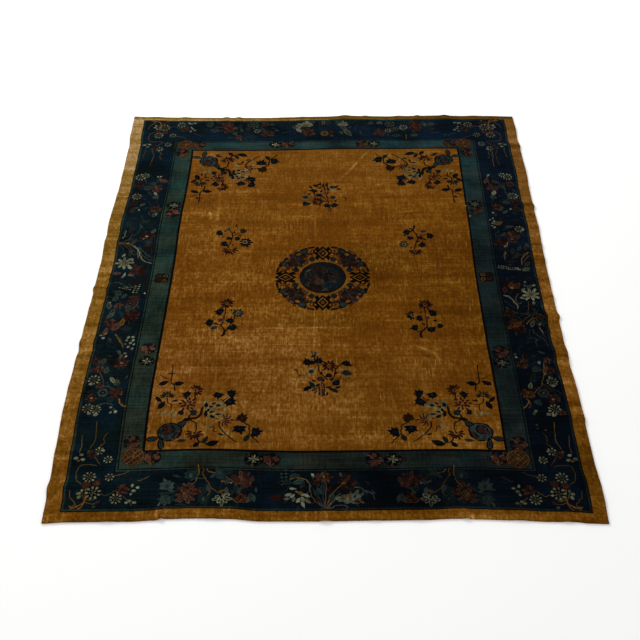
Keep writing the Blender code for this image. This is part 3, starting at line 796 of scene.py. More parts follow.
rightGroup = (1100, -400, (
    "stone 4 -38 138 10 100 50 82 96 78, mist 4 -34 100 20 55 50 10, gilt 4 96 70 66 48 42 15 20 -2, "
    "stone 4 162 82 125 88 90 70 66 38, gilt 4 162 64 132 48 116 15, stone 3 110 -120 96 -145 106 -180, "
    "mist 3 80 -40 68 -80 80 -120, umber 5 0 -750 20 -720 12 -685, "
    "blush 6 65 1692 66 1640 62 1590 60 1510, 7 -25 1360 -5 1375 0 1345 8 1305, "
    "stone 5 95 1300 100 1255 105 1190 120 1145 145 1100, gilt 5 90 800 65 750 40 700 30 660 15 615 8 580, "
    "cream 4 48 720 30 650 18 600 8 555, gilt 8 165 625 135 600 115 560 110 510, "
    "blush 6 165 595 140 565 122 530, mist 5 95 625 80 590 50 565, "
    "cream 9 -38 242 -5 225 18 185 32 150 30 125, mist 4 -38 195 -15 165 10 135, "
    "gilt 5 52 255 35 225 30 190 50 165 60 185, 4 95 200 100 160 90 110 75 70, teal 5 20 110 50 70 75 30, "
    "gilt 7 65 0 80 25 105 45 135 60 162 78, 4 105 50 115 70 140 100, "
    "stone 6 92 -40 102 -75 125 -100 148 -125 162 -180, cream 5 135 -25 143 -50 148 -75, "
    "gilt 4 8 -240 5 -265 8 -290, 5 118 -295 112 -340 105 -390 90 -430 78 -470 50 -500 15 -535, "
    "paleGold 7 -15 -568 -10 -590 -25 -615 -42 -630, brass 5 0 -585 -2 -610 -15 -630, "
    "blossom cream 135 1400 36 10, 100 1420 24, dot 8 1418 12 60, stone 0 1400 9, "
    "leaf blush -12 1355 56 60, peony rose 140 1318 28, leaf mist 50 1342 56 -30, fan 75 1285 36 60, "
    "peony rose 18 1282 36, leaf cream 25 1225 50 70, fan mist 20 1190 34 230, blossom cream 145 1192 36, "
    "peony wine 145 1115 30, fan mist 90 1112 36 90, peony rose 28 1075 34, dot cream 112 1055 10 60, "
    "leaf stone 50 1055 44 60, peony plum 150 1055 26, leaf stone 75 1025 44 40, umber 30 1020 40 60, "
    "dot cream -6 1017 10 60, stone 8 995 10 60, cream -15 960 9 60, -35 945 8 60, -10 930 9 60, "
    "-22 912 8, -30 885 8, -15 870 10 60, leaf gilt 15 912 56 20, mist 80 875 50, "
    "blossom cream 140 850 32, dot 162 848 12 20, peony rose 85 785 44 10, 88 745 28, dot cream 82 752 7, "
    "leaf mist 30 800 44 50, teal -5 775 50 60, peony wine 5 718 38, dot cream 30 685 11 60, "
    "leaf umber 35 655 50 80, mist 115 665 50 60, rose 155 675 46 80, teal 70 640 56 80, "
    "plum 95 600 50 60, 45 540 60, mist 145 520 44 40, spray cream -5 488 34 -10, 50 475 32, dot 78 478 9, "
    "90 468 8, leaf stone 130 470 50 20, dot cream 115 462 8, leaf umber 95 430 50 60, -15 370 44 60, "
    "fan rust 20 315 46 80, leaf orange 55 325 60 50, 18 325 50 80, dot paleGold 20 305 12, "
    "leaf rose -22 290 54 80, umber -10 340 50 60, lily ivory 125 245 62 80, leaf cream 86 290 30 40, "
    "132 178 32 80, 72 218 30 -20, dot 105 355 10 80, stone 100 322 10 60, leaf 128 315 44 40, "
    "dot cream 155 328 12 30, peony wine -28 88 34, leaf rose 155 55 60, teal 130 100 50 40, "
    "blossom mist 145 5 28 10, dot cream 140 -2 9 60, peony rust 5 -10 48, leaf orange 15 -2 60 40, "
    "peony wine 20 -50 30, leaf stone 100 5 60 70, teal 65 -100 50 80, dot stone -35 -238 10 60, "
    "cream -30 -260 9, peony rust -2 -312 32, dot orange 5 -322 13 40, blush 10 -338 8, "
    "leaf umber 25 -250 50 60, dot cream 90 -302 12 80, peony blush 138 -288 22, rose 140 -362 28, "
    "leaf blush 115 -355 50 60, dot cream 110 -385 9 60, fan mist 70 -365 40 100, leaf teal 45 -400 50 70, "
    "blossom cream 140 -442 34, dot 130 -412 12 70, 142 -472 13 20, leaf 18 -472 44 70, "
    "fan teal 30 -440 30 60, peony plum 108 -480 20, rose -5 -528 36, orange 5 -538 24 10, "
    "round mist 80 -525 34, peony rust 128 -565 32, dot cream 126 -568 9, fan mist 35 -600 34 60, "
    "dot cream 20 -652 12 60, stone 8 -668 11 60, blossom cream 122 -638 38, dot 85 -672 14, 112 -678 13, "
    "peony rose 158 -660 20, dot mist 12 -745 8, 12 -768 6, rose 50 -778 8"
))

# The inner border: small round ornaments

innerGroup = (-1000, -1370, (
    "rosePair cream 638 4 46, redPair rose 728 0 44, rosePair cream 1347 2 44, redPair rose 1250 0 46 90, "
    "rosePair cream 658 2742 42, redPair rose 745 2748 46, rosePair cream 1350 2754 42, "
    "redPair rose 1262 2758 44 90, blush 5 775 44, rosePair cream 8 680 40, redPair blush 15 1985 44 200, "
    "rosePair cream 15 2060 44, redPair rose 1985 748 48 100, rosePair oat 1985 665 42, "
    "redPair rose 1985 2010 42 90, rosePair oat 1985 2075 44, redPair blush 117 13 47, russet 5 108 46 90, "
    "rose 1885 10 45, 1998 100 48 90, blush 120 2740 44, 15 2640 46 90, rose 1880 2760 44, "
    "wine 1990 2655 44 90, flutter brass 15 1360 46, 1978 1372 46 180, lattice bar 22 18 58, 1982 4 60, "
    "28 2742 54, 1975 2762 54"
))


def drawRosePair(x, y, size, turn, yarn):  # a dark oval: small buds about a pale flower
    knot("ink", roundel(x, y, size * 1.12, 10, 0.06, turn, 0.86))
    for step in range(11):
        way = turn + 33 * step + 12 * math.sin(step * 2.3)
        knot(("russet", "leafGreen", "slate", "umber")[step % 4],
             petal(x, y, way, size * 0.68, size * (0.98 + 0.10 * (step % 2)), size * 0.34, 0.55))
    for step in range(4):
        for aside in (-19, 17):
            way = turn + 8 + 90 * step + aside
            knot(yarn if aside < 0 else "stone",
                 petal(x, y, way, size * 0.06, size * (0.66 - 0.06 * (step % 2)), size * 0.20, 0.7))
    knot("brass", roundel(x, y, size * 0.12, count=6))


def drawRedPair(x, y, size, turn, yarn):  # a brown rose of folded petals under a blue cap
    knot("ink", roundel(x, y, size * 1.06, 9, 0.07, turn, 0.92))
    for step in range(7):
        way = turn + 51 * step + 9 * math.sin(step * 2.9)
        far = size * (0.96 + 0.08 * (step % 2))
        shade = (yarn, "russet", "umber", yarn)[step % 4]
        knot(shade, petal(x, y, way, size * 0.08, far, size * 0.60, 0.7))
        knot("seam", petal(x, y, way + 22, size * 0.30, size * 0.94, size * 0.08, 0.6))
    for aside in (-70, 165, 230):
        knot("blush", petal(x, y, turn + aside, size * 0.52, size * 0.90, size * 0.22, 0.6))
    knot("navy", petal(x, y, turn + 74, size * 0.42, size * 1.02, size * 0.74, 0.5))
    knot("deepPlum", petal(x, y, turn + 118, size * 0.20, size * 0.80, size * 0.28, 0.6))
    at = laid([(size * 0.20, -size * 0.16)], x, y, turn)[0]
    knot("seam", leafShape(at[0], at[1], size * 0.62, turn + 70, 0.50))


def drawLattice(x, y, size, turn, yarn):  # plain crossed bars in a thin ring
    for colour, reach in (("seam", size * 1.04), (yarn, size * 0.97), ("seam", size * 0.97 - 4)):
        knot(colour, roundel(x, y, reach, count=26))
    for way, thick, pitch, rows in ((45, 3.1, 0.205, 4), (-45, 2.3, 0.34, 2)):
        for row in range(-rows, rows + 1):
            offset = row * size * pitch
            half = math.sqrt(max((size - 4) ** 2 - offset * offset, 0)) * 0.98
            bar = [(-half, offset - thick), (half, offset - thick), (half, offset + thick),
                   (-half, offset + thick)]
            knot(yarn if row % 2 else "tan", laid(bar, x, y, turn + way))
    knot("amber", laid(diamond(0, 0, size * 0.2, size * 0.15), x, y, turn + 45))


def drawRosette(x, y, size, turn, yarn):  # a full bloom: dark ground, loose petals, a grey heart
    knot("umber", roundel(x, y, size * 0.72, 9, 0.14, turn))
    for step in range(11):
        way = turn + 360 * step / 11 + 4 * math.sin(step * 3.7)
        far = size * (1.02 if step % 2 else 0.88)
        knot((yarn, "deepPlum", "seam", "deepWine", "plum")[step % 5],
             petal(x, y, way, size * 0.50, far, size * 0.33))
    for step in range(8):
        way = turn + 20 + 45 * step
        shade = ("husk", "deepPlum", "moss", "seam")[step % 4]
        knot(shade, petal(x, y, way, size * 0.10, size * 0.58, size * 0.26))
    knot("rose", roundel(x, y, size * 0.13, count=6))


drawers.update({"rosePair": drawRosePair, "redPair": drawRedPair, "lattice": drawLattice,
                "rosette": drawRosette})

# The medallion
medallion = {
    "x": -11, "y": -2,
    "reach": 292,            # of its outer edge
    "discReach": 141,
    "ringWidth": 8,
}
# One quarter of its wreath, from its middle, laid in all four
wreathGroup = (100, 50, (
    "umber 11 -60 206 -44 196 -48 176 -32 164 -38 148, rust 9 -36 204 -26 190 -30 176 -16 166, "
    "umber 11 160 -10 148 8 128 4 116 20 100 14, rust 9 156 16 142 26 128 22 118 36, "
    "umber 9 -12 206 4 190 -4 172 6 156, 9 158 40 142 56 124 48 108 58, paleGold 5 46 200 68 180 82 164, "
    "umber 7 56 200 78 180 90 164, 7 150 62 164 72 162 90, deepWine 10 -8 142 6 128 -4 110 -16 102, "
    "10 92 42 78 56 60 46 52 34, umber 9 18 80 30 62 12 54 2 68, rust 8 46 40 34 48 26 36, "
    "8 -10 96 -2 84 -14 76, umber 8 -62 116 -54 132 -64 144 -58 156, 8 66 -12 82 -4 94 -14 106 -8, "
    "rosette rose 58 98 72 45, broad teal 137 76 50 98, 22 184 54 -24, deepTeal -34 116 42 96, 66 17 42 8, "
    "deepWine 112 42 30 30, -8 164 30 60, dot orange -6 138 10, 90 34 9, leaf deepPlum 94 150 52 -45, "
    "umber 18 150 36 30, 106 68 36 60, 64 172 40 -36, 126 114 38 -56, blush 112 134 26 -50, 86 162 26 -40"
))
discGroup = (-50, -40, (
    "heartBlue 12 60 162 98 154 132 132 154 102, 12 170 92 176 58 170 20 150 -16, "
    "deepTeal 14 -20 140 6 154 40 156, tan 5 54 82 50 50 38 26, moss 7 -42 92 -24 62 -10 40, "
    "6 20 80 16 50 20 26, tan 5 108 14 90 34 94 62, leaf deepTeal 90 -22 100 40, 112 96 80 -50, "
    "moss -10 64 70 80, heartBlue 126 -26 66 60, -72 18 54 75, deepPlum 14 44 54 110, "
    "deepTeal 146 20 50 80, -46 50 50 100, peony deepPlum 4 116 27, round tan 62 100 21, daisy 31 0 31, "
    "dot deepWine 31 0 11, rust 31 0 5, 62 100 5, peony deepPlum 138 46 25 30, deepWine -18 6 26, "
    "leaf moss -48 88 38 70, stone -36 102 32 30, dot -54 68 6, round tan 118 2 12, dot gilt 64 -64 9, "
    "tan 78 -72 8, stone 52 -76 7, rose -54 48 8 60, moss -60 32 7 60, leaf deepWine -16 -58 48 -40, "
    "30 -72 44, moss -42 -28 40 -55, dot rose 86 56 9, tan 110 48 7, leaf moss 50 132 40 10, "
    "dot tan 84 128 7, leaf dusk 74 22 50 70"
))


def arcShape(inner, outer, start, end):
    steps = max(2, round(abs(end - start) / 6))
    angles = [math.radians(start + (end - start) * step / steps) for step in range(steps + 1)]
    return ([(outer * math.cos(a), outer * math.sin(a)) for a in angles]
            + [(inner * math.cos(a), inner * math.sin(a)) for a in reversed(angles)])


def diamond(x, y, along, across):
    return [(x - along, y), (x, y - across), (x + along, y), (x, y + across)]


def knotLozenge(distance, way):  # nested diamonds with a smaller one at each corner
    for yarn, along, across in (("ink", 67, 50), ("gold", 46, 34), ("ink", 35, 26), ("gold", 15, 11)):
        knot(yarn, laid(diamond(distance, 0, along, across), 0, 0, way))
    for u, v, along, across in ((-42, 34, 24, 15), (42, 34, 24, 15), (-42, -34, 24, 15), (42, -34, 24, 15),
                                (0, 0, 8, 6), (0, 42, 13, 13), (0, -42, 13, 13)):
        knot("ink", laid(diamond(distance + u, v, along, across), 0, 0, way))


def knotMedallion():
    midX, midY, reach = medallion["x"], medallion["y"], medallion["reach"]
    face(1, 1, midX, midY)
    knot("edgeGold", roundel(0, 0, reach + 5, count=64))
    knot("gold", roundel(0, 0, reach, count=64))
    for mirrorX, mirrorY in ((1, 1), (-1, 1), (-1, -1), (1, -1)):
        face(mirrorX, mirrorY, midX, midY)
        for start, end, yarn in ((10, 19, "umber"), (71, 80, "umber"), (20, 27, "ink"), (63, 70, "ink"),
                                 (33, 57, "deepPlum")):
            knot(yarn, arcShape(reach - 17, reach - 1, start, end))
        drawAll(wreathGroup)
    face(1, 1, midX, midY)
    for distance, way in ((224, 0), (220, 90), (225, 180), (219, 270)):
        knotLozenge(distance, way)
    disc = medallion["discReach"]
    for yarn, outer in (("brass", disc + 15), ("gold", disc + medallion["ringWidth"]), ("umber", disc),
                        ("dusk", disc - 5)):
        knot(yarn, roundel(0, 0, outer, count=48))
    drawAll(discGroup)


face(1, 1)
knotBands()
drawAll(innerGroup)
knotMedallion()
for mirrorX, mirrorY, moveX, moveY in ((1, 1, 0, 0), (-1, 1, 4, 2), (1, -1, 14, -16), (-1, -1, 12, 2)):
    face(mirrorX, mirrorY, moveX, moveY)
    knotSpray(mirrorY < 0)
face(1, 1)
drawAll(sprigGroup, 1.45, 1.02)
drawAll(nearMiddleGroup, 1.3, 1.1)
drawAll(farMiddleGroup, 1.7, 1.25)
knotUndergrowth()
for mirrorX, mirrorY, moveX, moveY in cornerPlaces:
    face(mirrorX, mirrorY, moveX, moveY)
    drawAll(cornerGroup)
face(1, 1)
drawAll(nearEndGroup)
drawAll(nearCentreGroup)
drawAll(farEndGroup)
drawAll(leftGroup)
drawAll(rightGroup)
face(-1, 1, 12, 0)
drawAll(nearEndGroup)
face(1, 1)
print("pattern drawn:", len(pattern), "shapes")


def linearColour(hexColour):  # sRGB to linear
    parts = [int(hexColour[k:k + 2], 16) / 255 for k in (1, 3, 5)]
    return [p / 12.92 if p <= 0.04045 else ((p + 0.055) / 1.055) ** 2.4 for p in parts] + [1.0]


def outlineLoop(inset):  # points of the straight outline, inset metres inside it
    corners = [(-halfWidth, -halfLength), (halfWidth, -halfLength),
               (halfWidth, halfLength), (-halfWidth, halfLength)]
    return [(math.copysign(min(abs(u), halfWidth - inset), u),
             math.copysign(min(abs(v), halfLength - inset), v))
            for u, v in alongSides(corners, rugSizes["rimStep"])]


def wobble(x, y, far):  # millimetres: no knotted line is quite straight
    p = Vector((x / 15, y / 15, 0.0))
    return (x + far * noise.noise(p), y + far * noise.noise(p + Vector((7.3, 2.1, 5.0))))


dyeing = {"darkest": 0.68, "spread": 0.64}


def shadeOf(index, yarn):  # every flower and leaf was dyed or has worn a little differently
    if yarn in plainYarns:
        return 1.0
    return dyeing["darkest"] + dyeing["spread"] * ((index * goldenShare) % 1)


Sheet = namedtuple("Sheet", "points triangles yarns grounds shades rim")


def sheetOfPile(loop, shapes, edgeStep, innerStep):  # each triangle has its yarn and its ground
    midX, midY = rugSizes["patternMiddle"]
    rim = [Vector(settled(u, v)) for u, v in loop]
    points, faces = list(rim), [list(range(len(rim)))]
    for number, (yarn, outline) in enumerate(shapes):
        start = len(points)
        for x, y in outline:
            x, y = wobble(x, y, rugSizes["lineWobble"][number >= len(bands)])
            points.append(Vector(((x + midX) / 1000, (y + midY) / 1000)))
        faces.append(list(range(start, len(points))))
    drawn = delaunay_2d_cdt(points, [], faces, 1, 1e-5)
    looks, sides = [], {}
    for corners, owners in zip(drawn[2], drawn[5]):
        looks.append((max(owners), max(owner for owner in owners if owner <= len(bands))))
        for a, b in zip(corners, corners[1:] + corners[:1]):
            sides.setdefault((min(a, b), max(a, b)), set()).add(looks[-1])
    # Only a line with different knots on its two sides is kept
    lines = [edge for edge, found in sides.items() if len(found) > 1]
    kept = sorted({corner for edge in lines for corner in edge})
    moved = {corner: len(rim) + k for k, corner in enumerate(kept)}
    points = rim + [drawn[0][corner] for corner in kept]
    limitX, limitY = halfWidth - rugSizes["gridMargin"], halfLength - rugSizes["gridMargin"]
    countX, countY = round(2 * limitX / edgeStep), round(2 * limitY / edgeStep)
    skip = max(1, round(innerStep / edgeStep))
    for column in range(countX + 1):
        for row in range(countY + 1):
            u = -limitX + 2 * limitX * column / countX
            v = -limitY + 2 * limitY * row / countY
            inStrip = min(halfWidth - abs(u), halfLength - abs(v)) < rugSizes["stripDepth"]
            if inStrip or (column % skip == 0 and row % skip == 0):
                points.append(Vector(settled(u, v)))
    made = delaunay_2d_cdt(points, [(moved[a], moved[b]) for a, b in lines],
                           [list(range(len(rim)))], 1, 5e-4)
    tree = BVHTree.FromPolygons([point.to_3d() for point in drawn[0]], drawn[2])
    found = []
    for corners in made[2]:
        middle = sum((made[0][corner] for corner in corners), Vector((0.0, 0.0))) / 3
        found.append(looks[tree.find_nearest(middle.to_3d())[2]])
    yarnOf = [shapes[top - 1][0] if top > 0 else "edgeGold" for top, ground in found]
    groundOf = [shapes[ground - 1][0] if ground > 0 else "edgeGold" for top, ground in found]
    shades = [shadeOf(top, yarn) for (top, ground), yarn in zip(found, yarnOf)]
    rimIndex = {}
    for index, sources in enumerate(made[3]):
        for source in sources:
            if source < len(loop):
                rimIndex[source] = index
    return Sheet(made[0], made[2], yarnOf, groundOf, shades, [rimIndex[k] for k in range(len(loop))])


def buildRug():
    loop = outlineLoop(rugSizes["topInset"])
    top = sheetOfPile(loop, pattern, *rugSizes["topSteps"])
    backShapes = [(yarn, outline[::3] if len(outline) > 100 else outline) for yarn, outline in pattern
                  if abs(signedArea(outline)) > rugSizes["backDetail"]]
    back = sheetOfPile(outlineLoop(rugSizes["backInset"]), backShapes, *rugSizes["backSteps"])
    verts, faces, yarnNames, grounds, shades, places = [], [], [], [], [], []
    for sheet in (top, back):
        first = len(verts)
        for x, y in sheet.points:
            u, v = straightened(x, y)
            height = undersideHeight(u, v)
            if sheet is top:
                uneven = rugSizes["pileUnevenness"] * (noise.noise(Vector((x * 6, y * 6, 3.0))) - 1.0)
                height = height + thickness + uneven
            verts.append((x, y, height))
            places.append((u, v))
        faces += [tuple(first + k for k in (corners if sheet is top else reversed(corners)))
                  for corners in sheet.triangles]
        yarnNames += sheet.yarns
        grounds += sheet.grounds
        shades += sheet.shades
    rows = [top.rim]
    for inset, height in rugSizes["rimRows"]:
        rows.append(list(range(len(verts), len(verts) + len(loop))))
        for u, v in outlineLoop(inset):
            jitter = rugSizes["rimJitter"] * (noise.noise(Vector((u * 90, v * 90, 1.0)))
                                              + 0.6 * noise.noise(Vector((u * 300, v * 300, 1.0))) - 1.0)
            outward = rugSizes["rimSpread"] - height
            atSide, atEnd = abs(u) > halfWidth - 0.01, abs(v) > halfLength - 0.01
            places.append((u + math.copysign(outward, u) * atSide, v + math.copysign(outward, v) * atEnd))
            u += math.copysign(jitter, u) if atSide else 0
            v += math.copysign(jitter, v) if atEnd else 0
            x, y = settled(u, v)
            verts.append((x, y, undersideHeight(u, v) + height))
    rows.append([first + k for k in back.rim])
    for upper, lower in zip(rows, rows[1:]):
        for k in range(len(loop)):
            n = (k + 1) % len(loop)
            faces.append((upper[n], upper[k], lower[k], lower[n]))
    rimFaces = len(faces) - len(yarnNames)
    yarnNames += ["edgeGold"] * rimFaces
    grounds += ["edgeGold"] * rimFaces
    shades += [1.0] * rimFaces
    mesh = bpy.data.meshes.new("knotted_rug")
    mesh.from_pydata(verts, [], faces)
    mesh.update()
    colourOf = {name: linearColour(value) for name, value in yarns.items()}
    colours, masks, spots = [], [], []
    for polygon, name, ground, shade in zip(mesh.polygons, yarnNames, grounds, shades):
        colours += ([part * shade for part in colourOf[name][:3]] + [1.0]) * polygon.loop_total
        onBlue = float(name in blueYarns)
        masks += (float(name == "gold"), onBlue, float(ground == "edgeGold"), 1.0) * polygon.loop_total
        under = 0 <= polygon.index - len(top.triangles) < len(back.triangles)
        for vertex in polygon.vertices:
            u, v = places[vertex]
            across = 0.5 + u / (2 * halfWidth + rugSizes["bakeMargin"])
            # The pile has four fifths of the texture, the underside the rest
            spots += (0.80 + 0.20 * across if under else 0.79 * across,
                      0.5 + v / (2 * halfLength + rugSizes["bakeMargin"]))
    mesh.color_attributes.new("yarn", 'FLOAT_COLOR', 'CORNER').data.foreach_set("color", colours)
    mesh.color_attributes.new("ground", 'FLOAT_COLOR', 'CORNER').data.foreach_set("color", masks)
    mesh.uv_layers.new(name="OFBake").data.foreach_set("uv", spots)
    made = bpy.data.objects.new("knotted_rug", mesh)
    bpy.context.collection.objects.link(made)
    return made


rug = buildRug()
bpy.ops.object.select_all(action='DESELECT')
rug.select_set(True)
bpy.context.view_layer.objects.active = rug
bpy.ops.object.shade_smooth()
triangles = len(rug.data.loops) - 2 * len(rug.data.polygons)
print("rug built:", len(rug.data.polygons), "faces,", triangles, "triangles")


def addNode(tree, kind, inputs=None, **settings):
    made = tree.nodes.new('ShaderNode' + kind)
    for name, value in settings.items():
        setattr(made, name, value)
    for slot, value in (inputs or {}).items():
        if isinstance(value, bpy.types.NodeSocket):
            tree.links.new(value, made.inputs[slot])
        else:
            made.inputs[slot].default_value = value
    return made


